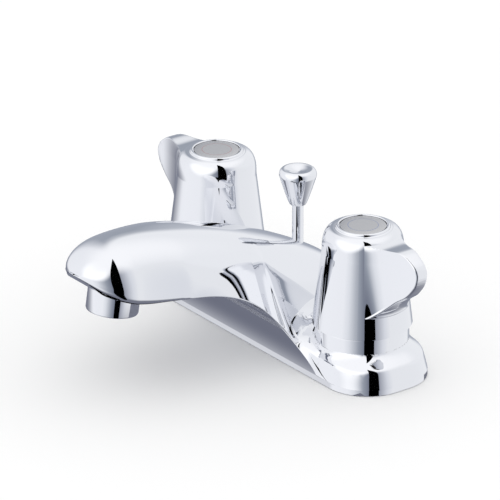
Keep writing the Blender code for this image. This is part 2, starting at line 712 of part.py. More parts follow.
def o_ring(radius, section, z):
    made = bmesh.new()
    points = [
        made.verts.new((radius + section * math.cos(a), 0.0, z + section * math.sin(a)))
        for a in (math.tau * k / 6 for k in range(6))
    ]
    edges = [made.edges.new((points[k], points[(k + 1) % 6])) for k in range(6)]
    bmesh.ops.spin(
        made, geom=points + edges, cent=(0, 0, 0), axis=(0, 0, 1), angle=math.tau, steps=20, use_merge=True
    )
    bmesh.ops.remove_doubles(made, verts=made.verts, dist=1e-6)
    return made


def hexagon(radius, bore, low, high):
    """A six-sided nut with a round bore, chamfered at its top corners."""
    made = bmesh.new()
    sides = 24
    rings = []
    for kind, z in (("hex", low), ("hex", high - 0.8 * MM), ("cone", high), ("bore", high), ("bore", low)):
        ring = []
        for k in range(sides):
            angle = math.tau * k / sides
            flat = radius * math.cos(math.pi / 6) / math.cos((angle % (math.pi / 3)) - math.pi / 6)
            reach = {"hex": flat, "cone": min(flat, 0.93 * radius), "bore": bore}[kind]
            ring.append(Vector((reach * math.cos(angle), reach * math.sin(angle), z)))
        rings.append(ring)
    made.free()
    return bridged(rings, closed=True)


def valve_levels():
    """The heights of the valve's pieces, each seated on the one below with the gap between."""
    seal = VALVE_SEAT_Z + GAP
    fixed = seal + SEAL_THICKNESS + GAP
    moving = fixed + DISC_THICKNESS + GAP
    driver = moving + DISC_THICKNESS + GAP
    roof = driver + DRIVER_THICKNESS + GAP
    return seal, fixed, moving, driver, roof


def valve(side, name, finishes, turning):
    """The pieces of one ceramic-disc valve. Those that turn with the handle hang on its parent."""
    x = valve_x(side)
    seal, fixed, moving, driver, roof = valve_levels()
    bore = STEM_RADIUS + GAP
    inner = DISC_RADIUS + GAP
    made = turned(ring_profile(PORT_RADIUS + 1 * MM, SEAL_RADIUS, seal, seal + SEAL_THICKNESS))
    add_object(f"{name}_seat_seal", placed(made, x), finishes["rubber"])
    made = turned(ring_profile(PORT_RADIUS, DISC_RADIUS, fixed, fixed + DISC_THICKNESS))
    add_object(f"{name}_fixed_disc", placed(made, x), finishes["ceramic"])
    made = half_moon_disc(DISC_RADIUS, moving, moving + DISC_THICKNESS)
    add_object(f"{name}_moving_disc", made, finishes["ceramic"], turning)
    add_object(f"{name}_stem", stem_mesh(driver), finishes["brass"], turning)
    groove = CARTRIDGE_RADIUS - 1.2 * MM
    ring_z = roof + 1.2 * MM
    half = CARTRIDGE_RING_SECTION + GAP
    profile = [
        (inner, VALVE_SEAT_Z + GAP), (CARTRIDGE_RADIUS, VALVE_SEAT_Z + GAP),
        (CARTRIDGE_RADIUS, ring_z - half)
    ]
    profile += [(groove, ring_z - half), (groove, ring_z + half), (CARTRIDGE_RADIUS, ring_z + half)]
    profile += [(CARTRIDGE_RADIUS, COLLAR_TOP), (NECK_RADIUS, COLLAR_TOP), (NECK_RADIUS, NECK_TOP)]
    profile += [(bore, NECK_TOP), (bore, roof), (inner, roof)]
    cartridge = add_object(f"{name}_cartridge", placed(turned(profile), x), finishes["brass"])
    window = tube_along([(x - 20 * MM, 0.0, moving), (x + 20 * MM, 0.0, moving)], 1.8 * MM, 12)
    boolean(cartridge, helper(f"{name}_window", window), "DIFFERENCE")
    made = o_ring(groove + GAP + CARTRIDGE_RING_SECTION, CARTRIDGE_RING_SECTION, ring_z)
    add_object(f"{name}_cartridge_o_ring", placed(made, x), finishes["rubber"])
    made = hexagon(NUT_RADIUS, NECK_RADIUS + GAP, COLLAR_TOP + GAP, COLLAR_TOP + GAP + NUT_HEIGHT)
    add_object(f"{name}_bonnet_nut", placed(made, x), finishes["brass"])
    made = o_ring(STEM_RADIUS - 0.5 * MM, STEM_RING_SECTION, STEM_RING_Z)
    add_object(f"{name}_stem_o_ring", made, finishes["rubber"], turning)


def half_moon_disc(radius, low, high):
    """A round plate with one segment left out, which opens and shuts the port as it turns."""
    rings = []
    for z in (low, high):
        ring = []
        for k in range(33):
            angle = math.radians(-125) + math.radians(250) * k / 32
            ring.append(Vector((radius * math.cos(angle), radius * math.sin(angle), z)))
        rings.append(ring)
    return bridged(rings, closed=False)


def stem_mesh(driver):
    """The valve's stem: a driver over the disc, a shaft with an O-ring groove and a tapped top."""
    groove = STEM_RADIUS - 0.5 * MM - STEM_RING_SECTION - GAP
    half = STEM_RING_SECTION + GAP
    tap = SCREW_RADIUS + GAP
    tap_floor = HEAD_RECESS_Z - SCREW_LENGTH - 1 * MM
    profile = [
        (0.0, driver), (DISC_RADIUS - 0.6 * MM, driver), (DISC_RADIUS - 0.6 * MM, driver + DRIVER_THICKNESS)
    ]
    profile += [(STEM_RADIUS, driver + DRIVER_THICKNESS), (STEM_RADIUS, STEM_RING_Z - half)]
    profile += [
        (groove, STEM_RING_Z - half), (groove, STEM_RING_Z + half), (STEM_RADIUS, STEM_RING_Z + half)
    ]
    profile += [(STEM_RADIUS, STEM_TOP), (tap, STEM_TOP), (tap, tap_floor), (0.0, tap_floor)]
    return turned(profile)


def handle_set(side, name, finishes):
    """One handle with what turns with it. Both handles are the same casting, a half turn apart."""
    turning = bpy.data.objects.new(f"{name}_handle_axis", None)
    bpy.context.collection.objects.link(turning)
    turning.location = (valve_x(side), 0.0, 0.0)
    turning.rotation_euler = (0.0, 0.0, 0.0 if side > 0 else math.pi)
    handle = add_object(f"{name}_handle", handle_form(), finishes["chrome"], turning)
    boolean(handle, helper(f"{name}_handle_hollow", handle_hollow(), turning), "DIFFERENCE")
    top = BUTTON_TOP
    low = top - BUTTON_THICKNESS
    edge = 0.4 * MM
    profile = [
        (0.0, low), (BUTTON_RADIUS, low), (BUTTON_RADIUS, top - edge), (BUTTON_RADIUS - edge, top - 0.1 * MM)
    ]
    profile += [(0.6 * BUTTON_RADIUS, top), (0.0, top)]
    add_object(f"{name}_index_button", turned(profile), finishes["button"], turning)
    head = HEAD_RECESS_Z + GAP
    slot = 0.9 * MM
    profile = [
        (0.0, HEAD_RECESS_Z - SCREW_LENGTH), (SCREW_RADIUS, HEAD_RECESS_Z - SCREW_LENGTH),
        (SCREW_RADIUS, head)
    ]
    profile += [(SCREW_HEAD_RADIUS, head), (SCREW_HEAD_RADIUS, head + 0.7 * SCREW_HEAD_HEIGHT)]
    profile += [
        (0.6 * SCREW_HEAD_RADIUS, head + SCREW_HEAD_HEIGHT),
        (0.35 * SCREW_HEAD_RADIUS, head + SCREW_HEAD_HEIGHT)
    ]
    profile += [
        (0.2 * SCREW_HEAD_RADIUS, head + SCREW_HEAD_HEIGHT - slot), (0.0, head + SCREW_HEAD_HEIGHT - slot)
    ]
    add_object(f"{name}_handle_screw", turned(profile, 24), finishes["brass"], turning)
    return turning


def inlet(side, name, finishes):
    """A threaded shank under the deck with the washer and nut that clamp the faucet to the sink."""
    x = valve_x(side)
    made = turned(ring_profile(SHANK_BORE, SHANK_RADIUS, SHANK_BOTTOM, SHANK_SOCKET_TOP - GAP))
    add_object(f"{name}_inlet_shank", placed(made, x), finishes["brass"])
    washer_top = -SINK_THICKNESS - GAP
    washer_low = washer_top - NUT_WASHER_THICKNESS
    made = turned(ring_profile(SHANK_RADIUS + GAP, NUT_WASHER_RADIUS, washer_low, washer_top))
    add_object(f"{name}_shank_washer", placed(made, x), finishes["steel"])
    nut_top = washer_low - GAP
    made = hexagon(LOCKNUT_RADIUS, SHANK_RADIUS + GAP, -nut_top, -nut_top + LOCKNUT_HEIGHT)
    bmesh.ops.transform(made, matrix=Matrix.Rotation(math.pi, 4, "X"), verts=made.verts)
    add_object(f"{name}_shank_locknut", placed(made, x), finishes["brass"])


def deck_gasket(finishes):
    """The soft plate in the deck's recess, with holes for the shanks and the rod."""
    half_x, half_y = DECK_HALF_LENGTH - DECK_WALL - GAP, DECK_HALF_DEPTH - DECK_WALL - GAP
    outline = round_rectangle(half_x - 1 * MM, half_y - 1 * MM, DECK_CORNER - DECK_WALL - GAP - 1 * MM)
    gasket = add_object("deck_gasket", frustum(outline, outline, 0.0, GASKET_THICKNESS), finishes["foam"])
    for side, name in ((-1, "hot"), (1, "cold")):
        hole = cylinder(RECESS_BOSS_RADIUS + GAP, -1 * MM, GASKET_THICKNESS + 1 * MM, valve_x(side))
        boolean(gasket, helper(f"{name}_gasket_hole", hole), "DIFFERENCE")
    rod = cylinder(BUSH_RADIUS + CASTING_WALL + GAP, -1 * MM, GASKET_THICKNESS + 1 * MM, 0.0, ROD_Y, 24)
    boolean(gasket, helper("rod_gasket_hole", rod), "DIFFERENCE")


def aerator(finishes):
    """The outlet's screwed housing with its washer and the drilled insert that mixes air in."""
    inner = AERATOR_THREAD_RADIUS - AERATOR_WALL
    top = AERATOR_HEIGHT + AERATOR_THREAD_LENGTH
    ledge = 2.0 * MM
    profile = [(inner - 1.2 * MM, 0.4 * MM), (inner - 0.6 * MM, 0.0), (AERATOR_RADIUS - 0.8 * MM, 0.0)]
    profile += [
        (AERATOR_RADIUS, 0.8 * MM), (AERATOR_RADIUS, AERATOR_HEIGHT), (AERATOR_THREAD_RADIUS, AERATOR_HEIGHT)
    ]
    profile += [(AERATOR_THREAD_RADIUS, top), (inner, top), (inner, ledge), (inner - 1.2 * MM, ledge)]
    pieces = [("aerator_housing", turned(profile), "chrome")]
    insert_low = ledge + GAP
    insert_top = AERATOR_HEIGHT - 2 * MM
    profile = [(0.0, insert_low), (inner - GAP, insert_low), (inner - GAP, insert_top), (0.0, insert_top)]
    pieces.append(("aerator_insert", turned(profile), "plastic"))
    washer_low = top + GAP
    washer = ring_profile(
        inner - 2 * MM, AERATOR_THREAD_RADIUS - 0.2 * MM, washer_low, washer_low + AERATOR_WASHER
    )
    pieces.append(("aerator_washer", turned(washer), "rubber"))
    for name, made, finish in pieces:
        made.transform(outlet_matrix())
        obj = add_object(name, made, finishes[finish])
        if name != "aerator_insert":
            continue
        for k in range(SCREEN_HOLES):
            angle = math.tau * k / SCREEN_HOLES
            circle = 0.62 * (inner - GAP)
            hole = cylinder(1.1 * MM, insert_low - 1 * MM, insert_top + 1 * MM, 0, 0, 10)
            bmesh.ops.translate(
                hole, verts=hole.verts, vec=(circle * math.cos(angle), circle * math.sin(angle), 0)
            )
            hole.transform(outlet_matrix())
            boolean(obj, helper(f"insert_hole_{k + 1}", hole), "DIFFERENCE")


def lift_rod(finishes):
    """The drain's lift rod with its knob, sliding in a bush behind the spout's crown."""
    axis = bpy.data.objects.new("lift_rod_axis", None)
    bpy.context.collection.objects.link(axis)
    axis.location = (0.0, ROD_Y, 0.0)
    socket_top = KNOB_BOTTOM + 8 * MM
    rod = [
        (0.0, ROD_BOTTOM), (ROD_RADIUS, ROD_BOTTOM), (ROD_RADIUS, socket_top - GAP), (0.0, socket_top - GAP)
    ]
    add_object("lift_rod", turned(rod, 24), finishes["chrome"], axis)
    hole = ROD_RADIUS + GAP
    widest = KNOB_TOP - 2.8 * MM
    profile = [
        (hole, KNOB_BOTTOM), (KNOB_FOOT_RADIUS - 0.3 * MM, KNOB_BOTTOM),
        (KNOB_FOOT_RADIUS, KNOB_BOTTOM + 0.4 * MM)
    ]
    for k in range(1, 6):
        share = k / 5
        radius = KNOB_FOOT_RADIUS + (KNOB_RADIUS - KNOB_FOOT_RADIUS) * share**0.9
        profile.append((radius, KNOB_BOTTOM + 0.4 * MM + (widest - KNOB_BOTTOM - 0.4 * MM) * share))
    profile += [(KNOB_RADIUS - 0.2 * MM, widest + 1.1 * MM), (KNOB_RADIUS - 0.9 * MM, KNOB_TOP - 0.6 * MM)]
    profile += [(KNOB_RADIUS - 1.9 * MM, KNOB_TOP), (KNOB_RADIUS - 2.9 * MM, KNOB_TOP - 0.3 * MM)]
    profile += [(KNOB_RADIUS - 4.4 * MM, KNOB_TOP - 1.2 * MM), (0.0, KNOB_TOP - 1.6 * MM)]
    profile += [(0.0, socket_top), (hole, socket_top)]
    add_object("lift_knob", turned(profile, 24), finishes["chrome"], axis)
    bush_top = crown_height(ROD_Y) - 2.5 * MM
    bush = turned(ring_profile(hole, BUSH_RADIUS, bush_top - BUSH_LENGTH, bush_top), 32)
    add_object("rod_bush", placed(bush, 0.0, ROD_Y), finishes["plastic"])


def main():
    clear_scene()
    finishes = {
        "chrome": material("polished_chrome", (0.80, 0.81, 0.83), 1.0, 0.05),
        "brass": material("brass", (0.72, 0.55, 0.28), 1.0, 0.3),
        "steel": material("zinc_plated_steel", (0.62, 0.63, 0.64), 1.0, 0.35),
        "rubber": material("black_rubber", (0.03, 0.03, 0.03), 0.0, 0.7),
        "ceramic": material("white_ceramic", (0.85, 0.84, 0.80), 0.0, 0.2),
        "plastic": material("white_plastic", (0.80, 0.80, 0.78), 0.0, 0.4),
        "foam": material("grey_foam", (0.12, 0.12, 0.13), 0.0, 0.9),
        "button": material("satin_grey_button", (0.30, 0.30, 0.32), 0.6, 0.35),
    }
    faucet_body(finishes["chrome"])
    deck_gasket(finishes)
    for side, name in ((-1, "hot"), (1, "cold")):
        turning = handle_set(side, name, finishes)
        valve(side, name, finishes, turning)
        inlet(side, name, finishes)
    aerator(finishes)
    lift_rod(finishes)


main()
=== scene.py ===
import math

import bpy
import numpy as np
from mathutils import Matrix, Vector


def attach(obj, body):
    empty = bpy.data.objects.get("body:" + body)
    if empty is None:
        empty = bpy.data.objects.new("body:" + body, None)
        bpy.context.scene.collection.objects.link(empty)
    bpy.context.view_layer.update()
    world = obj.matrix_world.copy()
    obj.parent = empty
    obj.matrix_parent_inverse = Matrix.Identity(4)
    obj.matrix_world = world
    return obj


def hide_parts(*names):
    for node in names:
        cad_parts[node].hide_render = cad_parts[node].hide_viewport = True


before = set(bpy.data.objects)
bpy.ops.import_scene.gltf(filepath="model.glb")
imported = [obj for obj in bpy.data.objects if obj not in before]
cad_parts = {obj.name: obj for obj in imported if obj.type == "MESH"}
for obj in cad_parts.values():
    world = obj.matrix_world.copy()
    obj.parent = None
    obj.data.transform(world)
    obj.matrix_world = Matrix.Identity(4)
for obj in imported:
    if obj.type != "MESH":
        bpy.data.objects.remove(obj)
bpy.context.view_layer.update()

MM = 0.001
TINY = 1e-6 * MM
PINHOLE = 0.01 * MM
SLOPE_STEP = 0.01 * MM

# The camera, fitted to the photograph's deck outline, handle rims, buttons and spout.
CAMERA_AZIMUTH = 53.29
CAMERA_ELEVATION = 23.617
CAMERA_DISTANCE = 2059.35 * MM
LOOK_RIGHT = 16.149 * MM
LOOK_UP = 32.61 * MM
FOCAL_PIXELS = 4855.19
PICTURE_PIXELS = 500
SENSOR = 36.0

# Deck and spout.
VALVE_X = 50.8 * MM
DECK_HALF_LENGTH = 78.4 * MM
DECK_HALF_DEPTH = 23.1 * MM
DECK_CORNER = 19.5 * MM
DECK_WALL = 3.2 * MM
RECESS_DEPTH = 7.5 * MM
RECESS_BOSS_RADIUS = 16.5 * MM
FOOT_HEIGHT = 2.4 * MM
PILLOW_TOP = 14.4 * MM
PILLOW_ROLL = 8.4 * MM
CROWN_ROLL = 6.5 * MM
SPOUT_TIP_Y = -109.5 * MM
SPOUT_TIP_Z = 52.6 * MM
SPOUT_TIP_RADIUS = 19.6 * MM
SPOUT_ROOT_HALF_WIDTH = 28.5 * MM
SPOUT_BACK_HALF_WIDTH = 25.5 * MM
SPOUT_ROOT_Y = -34.0 * MM
CROWN_PEAK_Y = -86.0 * MM
CROWN_PEAK_Z = 64.8 * MM
CROWN_BACK_Y = 14.0 * MM
CROWN_BACK_Z = 33.5 * MM
CROWN_BACK_SLOPE = -0.66
FRONT_FLARE = 22.0 * MM
FRONT_FLARE_LENGTH = 3.3 * MM
BACK_TAIL = 5.0 * MM
TAIL_ROOT = 6.0 * MM
ROOT_LENGTH = 46.0 * MM
SECTION_POWER_TIP = 2.25
SECTION_POWER_ROOT = 2.5
SECTION_CHANGE = (-105.0 * MM, -68.0 * MM)
FILLET_POWER = 1.7
LIP_HEIGHT = 0.9 * MM
LIP_START = 3.0 * MM
LIP_BULGE = 0.3 * MM
BELLY_DEPTH = 2.4 * MM
BELLY_SLANT = 0.7
BELLY_FRONT = (SPOUT_TIP_Y, -103.0 * MM)
BELLY_BACK = (-92.0 * MM, -70.0 * MM)
DECK_BLEND = 3.0 * MM
BLEND_RISE = 2.0 * MM
BLEND_REACH = 8.0 * MM
BLEND_END = 10.0 * MM
FOOT_FADE = 8.0 * MM
OUTLINE_POWER = 1.25
ARCH_FOOT_X = 28.0 * MM
COLLAR_RADIUS = 19.6 * MM
COLLAR_BORE = 11.6 * MM
VALVE_SEAT_Z = 7.0 * MM
SHANK_SOCKET_RADIUS = 10.6 * MM
BUSH_RADIUS = 4.4 * MM
BUSH_BOSS_RADIUS = 7.4 * MM
COLLAR_TOP = 21.3 * MM
FLARE_SHARE = 0.36
FLARE_RISE = 1.6 * MM
FLARE_RING = 2.6 * MM
FLARE_SINK = 0.04 * MM
EDGE_STEP = 0.04 * MM
COLLAR_STEP = 0.06 * MM
COLLAR_ROUND = 0.5 * MM
COLLAR_ROOT_Z = FOOT_HEIGHT + 5.0 * MM
SINK_FADE = 0.5 * MM

# How the body's surface is divided: columns across it, and rows from the spout's tip to its root.
SHEET_COLUMNS = 321
ARCH_COLUMNS = 0.16
ARCH_WIDTH = 0.28
COLUMN_CHANGE_Y = -40.0 * MM
ROOT_ROWS_Y = -36.0 * MM
TIP_ROWS = 40
MIDDLE_ROWS = 38
ROOT_ROWS = 42
ROOT_CROWDING = 1.8
DECK_ROWS = 121

# Handles and index buttons.
HANDLE_RIM_Z = 21.8 * MM
HANDLE_RIM_RADIUS = 20.9 * MM
HANDLE_SHOULDER_Z = 54.0 * MM
HANDLE_SHOULDER_RADIUS = 17.0 * MM
HANDLE_TOP_Z = 63.9 * MM
HANDLE_WALL = 2.2 * MM
BEZEL_RADIUS = 12.3 * MM
RING_RADIUS = 11.3 * MM
BEZEL_TOP = 65.0 * MM
BUTTON_RADIUS = 9.7 * MM
BUTTON_TOP = 64.7 * MM
BUTTON_THICKNESS = 1.8 * MM
PRINTED_RING_RADIUS = 6.3 * MM
PRINTED_RING_HALF_WIDTH = 0.12 * MM
HUB_RADIUS = 6.6 * MM
HUB_BOTTOM = 38.0 * MM
CAVITY_TOP = 55.0 * MM
EAR_OUTLINE = (
    (27.5 * MM, 14.0 * MM),
    (30.7 * MM, 17.0 * MM),
    (34.2 * MM, 20.6 * MM),
    (39.6 * MM, 26.2 * MM),
    (43.4 * MM, 31.4 * MM),
    (48.0 * MM, 35.2 * MM),
    (51.5 * MM, 36.6 * MM),
    (54.2 * MM, 36.8 * MM),
    (56.6 * MM, 35.4 * MM),
    (58.5 * MM, 32.8 * MM),
    (60.2 * MM, 29.4 * MM),
    (61.1 * MM, 24.0 * MM),
    (61.7 * MM, 16.0 * MM),
    (61.9 * MM, 8.0 * MM),
)
EAR_ROOT_RADIUS = 17.5 * MM
EAR_FRONT_ANGLE = -36.0
EAR_BACK_ANGLE = 48.0
EAR_FRONT = (
    (14.16 * MM, -10.29 * MM),
    (18.0 * MM, -5.0 * MM),
    (27.0 * MM, -2.2 * MM),
    (37.5 * MM, -0.9 * MM),
)
EAR_BACK = (
    (36.5 * MM, 5.2 * MM),
    (26.0 * MM, 3.6 * MM),
    (17.5 * MM, 6.4 * MM),
    (11.7 * MM, 13.0 * MM),
)
EAR_EDGE = 1.3 * MM
EAR_TIP_RISE = 1.5 * MM
EAR_RISE_X = (18.0 * MM, 30.0 * MM)
EAR_RISE_Z = (50.0 * MM, 60.0 * MM)
EAR_FOOT_Z = 27.0 * MM
EAR_TOP_Z = 58.0 * MM
DOME_POWER = 2.8
BEZEL_STEP = 0.35 * MM
BEZEL_ROUND = 0.75 * MM
RECESS_ROUND = 0.5 * MM
BUTTON_GAP = 0.3 * MM
BUTTON_EDGE = 0.35 * MM
SCREW_HOLE_RADIUS = 4.3 * MM
EAR_ROOT_BLEND = 2.4 * MM
LEAST_BLEND = 0.001 * MM

# Lift rod, knob and outlet housing.
ROD_Y = 4.9 * MM
ROD_RADIUS = 2.38 * MM
ROD_BOTTOM = -80.0 * MM
KNOB_BOTTOM = 55.7 * MM
KNOB_TOP = 71.6 * MM
KNOB_RADIUS = 8.0 * MM
KNOB_FOOT_RADIUS = 3.7 * MM
KNOB_FOOT_BORE = 2.7 * MM
KNOB_FOOT_EDGE = 0.4 * MM
KNOB_SOCKET = 7.7 * MM
KNOB_CROWN = 2.8 * MM
KNOB_RIM = 1.9 * MM
KNOB_DISH = 1.6 * MM
AERATOR_Y = -91.0 * MM
AERATOR_BOTTOM_Z = 32.3 * MM
AERATOR_TILT = 9.0
AERATOR_RADIUS = 11.0 * MM
AERATOR_HEIGHT = 14.5 * MM
OUTLET_BORE = 8.0 * MM
OUTLET_LIP = 1.2 * MM

# The spout's lower edge and its crown, each as cubic curves of (y, z) points.

SWEEP = (
    (
        (-DECK_HALF_DEPTH, FOOT_HEIGHT),
        (-25.3 * MM, 22.0 * MM),
        (-38.0 * MM, 36.4 * MM),
        (-63.0 * MM, 38.6 * MM),
    ),
    (
        (-63.0 * MM, 38.6 * MM),
        (-80.0 * MM, 40.2 * MM),
        (-97.0 * MM, 43.8 * MM),
        (SPOUT_TIP_Y, SPOUT_TIP_Z),
    ),
)
CROWN = (
    (
        (SPOUT_TIP_Y, SPOUT_TIP_Z),
        (-107.5 * MM, 60.0 * MM),
        (-98.0 * MM, CROWN_PEAK_Z),
        (CROWN_PEAK_Y, CROWN_PEAK_Z),
    ),
    (
        (CROWN_PEAK_Y, CROWN_PEAK_Z),
        (-60.0 * MM, 65.2 * MM),
        (-18.0 * MM, 53.0 * MM),
        (CROWN_BACK_Y, CROWN_BACK_Z),
    ),
)


def bezier(points, count):
    """Points along the cubic curve, as an array of rows."""
    t = np.linspace(0.0, 1.0, count)[:, None]
    p = [np.array(point) for point in points]
    return p[0] * (1 - t) ** 3 + p[1] * 3 * t * (1 - t) ** 2 + p[2] * 3 * t * t * (1 - t) + p[3] * t**3


def height_table(curves):
    """A dense table of (y, z) rows, sorted by y, through the given curves."""
    rows = np.concatenate([bezier(curve, 1500) for curve in curves])
    return rows[np.argsort(rows[:, 0], kind="stable")]


SWEEP_TABLE = height_table(SWEEP)
CROWN_TABLE = height_table(CROWN)


def sweep_height(y):
    return np.interp(y, SWEEP_TABLE[:, 0], SWEEP_TABLE[:, 1])


def crown_height(y):
    back = CROWN_BACK_Z + CROWN_BACK_SLOPE * (y - CROWN_BACK_Y)
    return np.where(y > CROWN_BACK_Y, back, np.interp(y, CROWN_TABLE[:, 0], CROWN_TABLE[:, 1]))


def cubic(table, count=40):
    """A dense table through the points of a coarse one, on a Catmull-Rom curve."""
    p = np.array(table)
    p = np.concatenate([[2 * p[0] - p[1]], p, [2 * p[-1] - p[-2]]])
    rows = []
    for a, b, c, d in zip(p, p[1:], p[2:], p[3:]):
        t = np.linspace(0.0, 1.0, count)[:, None]
        bend, turn = 2 * a - 5 * b + 4 * c - d, 3 * b - a - 3 * c + d
        rows.append(0.5 * (2 * b + (c - a) * t + bend * t**2 + turn * t**3))
    rows = np.concatenate(rows)
    return rows[np.argsort(rows[:, 0], kind="stable")]


# The arch's half width above its foot, against y: the sides run nearly parallel, and only the foot flares.
FLANK = cubic((
    (-70.0 * MM, 22.05 * MM),
    (-66.0 * MM, 22.60 * MM),
    (-60.0 * MM, 22.95 * MM),
    (-54.0 * MM, 23.00 * MM),
    (-45.0 * MM, 22.90 * MM),
    (-35.0 * MM, 22.90 * MM),
    (-23.1 * MM, 23.10 * MM),
    (0.0 * MM, 23.60 * MM),
    (23.1 * MM, 24.60 * MM),
))


def arch_half_width(y):
    centre = SPOUT_TIP_Y + SPOUT_TIP_RADIUS
    tip = np.sqrt(np.maximum(SPOUT_TIP_RADIUS**2 - (centre - y) ** 2, 0.0))
    share = np.clip((y - centre) / (SPOUT_ROOT_Y - centre), 0.0, 1.0)
    middle = SPOUT_TIP_RADIUS + (SPOUT_ROOT_HALF_WIDTH - SPOUT_TIP_RADIUS) * share**OUTLINE_POWER
    share = (y - SPOUT_ROOT_Y) / (DECK_HALF_DEPTH - SPOUT_ROOT_Y)
    back = SPOUT_ROOT_HALF_WIDTH + (SPOUT_BACK_HALF_WIDTH - SPOUT_ROOT_HALF_WIDTH) * share
    return np.where(y < centre, tip, np.where(y < SPOUT_ROOT_Y, middle, back))


def outline_flare(y):
    """How far the spout's plan outline stands outside its arch, where it runs out onto the deck's front."""
    return FRONT_FLARE * np.exp(np.minimum(y + DECK_HALF_DEPTH, 0.0) / FRONT_FLARE_LENGTH)


def smooth_step(value, start, end):
    share = np.clip((value - start) / (end - start), 0.0, 1.0)
    return share * share * (3 - 2 * share)


def tail_table():
    """The foot's width against y, solved so that the surface ahead of the deck meets its lower edge."""
    narrowest, widest = PINHOLE, 60 * MM
    ys = np.linspace(SPOUT_TIP_Y, -DECK_HALF_DEPTH, 400)
    half, flank = arch_half_width(ys) + outline_flare(ys), flank_half_width(ys)
    edge, base = sweep_height(ys) + lip_height(ys), arch_base(ys)
    wanted = (edge - base) / np.maximum(crown_height(ys) - base, TINY)
    low, high = np.full_like(ys, narrowest), np.full_like(ys, widest)
    for _ in range(40):
        middle = (low + high) / 2
        short = arch_share(half, flank, middle, section_power(ys)) < wanted
        low, high = np.where(short, middle, low), np.where(short, high, middle)
    keep = ys < -DECK_HALF_DEPTH - TAIL_ROOT
    solved = np.where(wanted[keep] < 0.01, narrowest, low[keep])
    root = cubic((
        (ys[keep][-1], solved[-1]),
        (-DECK_HALF_DEPTH, solved[-1] + 0.5 * MM),
        (0.0, BACK_TAIL),
        (DECK_HALF_DEPTH, BACK_TAIL),
    ))
    return np.concatenate([np.stack([ys[keep], solved], axis=-1), root])


def tail_width(y):
    """The width of the concave foot of the arch's section."""
    return np.interp(y, TAIL_TABLE[:, 0], TAIL_TABLE[:, 1])


def arch_base(y):
    """Where the arch's section starts: at the spout's edge, let down to the foot at the root."""
    edge = sweep_height(y) + lip_height(y)
    return FOOT_HEIGHT + (edge - FOOT_HEIGHT) * smooth_step(-DECK_HALF_DEPTH - y, 0.0, ROOT_LENGTH)


def flank_half_width(y):
    """The arch's half width, narrowed before the root so that its foot meets the outline's edge."""
    narrowed = np.interp(y, FLANK[:, 0], FLANK[:, 1])
    return np.where((y > FLANK[0, 0]) & (y < FLANK[-1, 0]), narrowed, arch_half_width(y))


def deck_half_length(y):
    beyond = np.maximum(np.abs(y) - (DECK_HALF_DEPTH - DECK_CORNER), 0.0)
    return DECK_HALF_LENGTH - DECK_CORNER + np.sqrt(np.maximum(DECK_CORNER**2 - beyond**2, 0.0))


def inside_deck(x, y):
    across = np.maximum(np.abs(x) - (DECK_HALF_LENGTH - DECK_CORNER), 0.0)
    along = np.maximum(np.abs(y) - (DECK_HALF_DEPTH - DECK_CORNER), 0.0)
    return DECK_CORNER - np.hypot(across, along)


# The rise from the deck's foot to its top, as shares of the way in and of the height.
PILLOW = (
    ((0.0, 0.0), (0.07, 0.17), (0.13, 0.34), (0.2, 0.49)),
    ((0.2, 0.49), (0.265, 0.65), (0.36, 0.667), (0.52, 0.735)),
    ((0.52, 0.735), (0.68, 0.8), (0.84, 0.86), (1.0, 0.93)),
)
PILLOW_TABLE = height_table(PILLOW)


def front_line(x):
    """How far the plan outline stands ahead of the deck's front edge, for |x| up to the outline's flare."""
    across = np.clip((np.abs(x) - ARCH_FOOT_X) / FRONT_FLARE, 0.004, 1.0)
    return -FRONT_FLARE_LENGTH * np.log(across)


def pillow_height(x, y):
    """The deck's height: a steep wall, a rounded brow and a slope that turns up into the collars."""
    ahead = front_line(x)
    edge = -DECK_HALF_DEPTH - ahead
    foot = np.where(ahead > TINY, sweep_height(edge) + lip_height(edge), FOOT_HEIGHT)
    foot = FOOT_HEIGHT + (foot - FOOT_HEIGHT) * smooth_step(-y, 0.0, FOOT_FADE)
    shift = np.where(y < 0.0, ahead, 0.0) * smooth_step(-y, 0.0, DECK_HALF_DEPTH)
    slant = 1 / np.hypot(1.0, FRONT_FLARE_LENGTH / np.maximum(np.abs(x) - ARCH_FOOT_X, 1.0 * MM))
    inset = np.maximum(inside_deck(x, y + shift) * np.where(ahead > TINY, slant, 1.0), 0.0)
    to_collar = np.maximum(np.hypot(np.abs(x) - VALVE_X, y) - COLLAR_RADIUS, 0.0)
    width = np.maximum(np.minimum(inset + to_collar, PILLOW_ROLL), TINY)
    share = np.clip(inset / width, 0.0, 1.0)
    flare = np.clip(1 - to_collar / (FLARE_SHARE * width), 0.0, 1.0)
    rise = FLARE_RISE * (1 - np.sqrt(np.maximum(1 - flare**2, 0.0)))
    return foot + (PILLOW_TOP - foot) * np.interp(share, PILLOW_TABLE[:, 0], PILLOW_TABLE[:, 1]) + rise


def lip_height(y):
    return LIP_HEIGHT * np.clip((-DECK_HALF_DEPTH - y) / LIP_START, 0.0, 1.0)


def section_power(y):
    """The exponent of the arch's section: nearly an ellipse at the tip, and squarer further back."""
    return SECTION_POWER_TIP + (SECTION_POWER_ROOT - SECTION_POWER_TIP) * smooth_step(y, *SECTION_CHANGE)


def arch_share(x, half, tail, power):
    """1 on the crown and 0 past the tail: half an ellipse whose foot runs out in a concave tail."""
    half, tail = np.maximum(half, TINY), np.maximum(tail, TINY)
    foot = tail / (FILLET_POWER * half + tail)
    x = np.abs(x)
    inner = 1 - np.minimum(x / half, 1.0) ** power
    dome = np.maximum((1 - foot) * inner + foot, 0.0) ** (1 / power)
    run_out = foot ** (1 / power) * (np.maximum(half + tail - x, 0.0) / tail) ** FILLET_POWER
    return np.where(x <= half, dome, run_out)


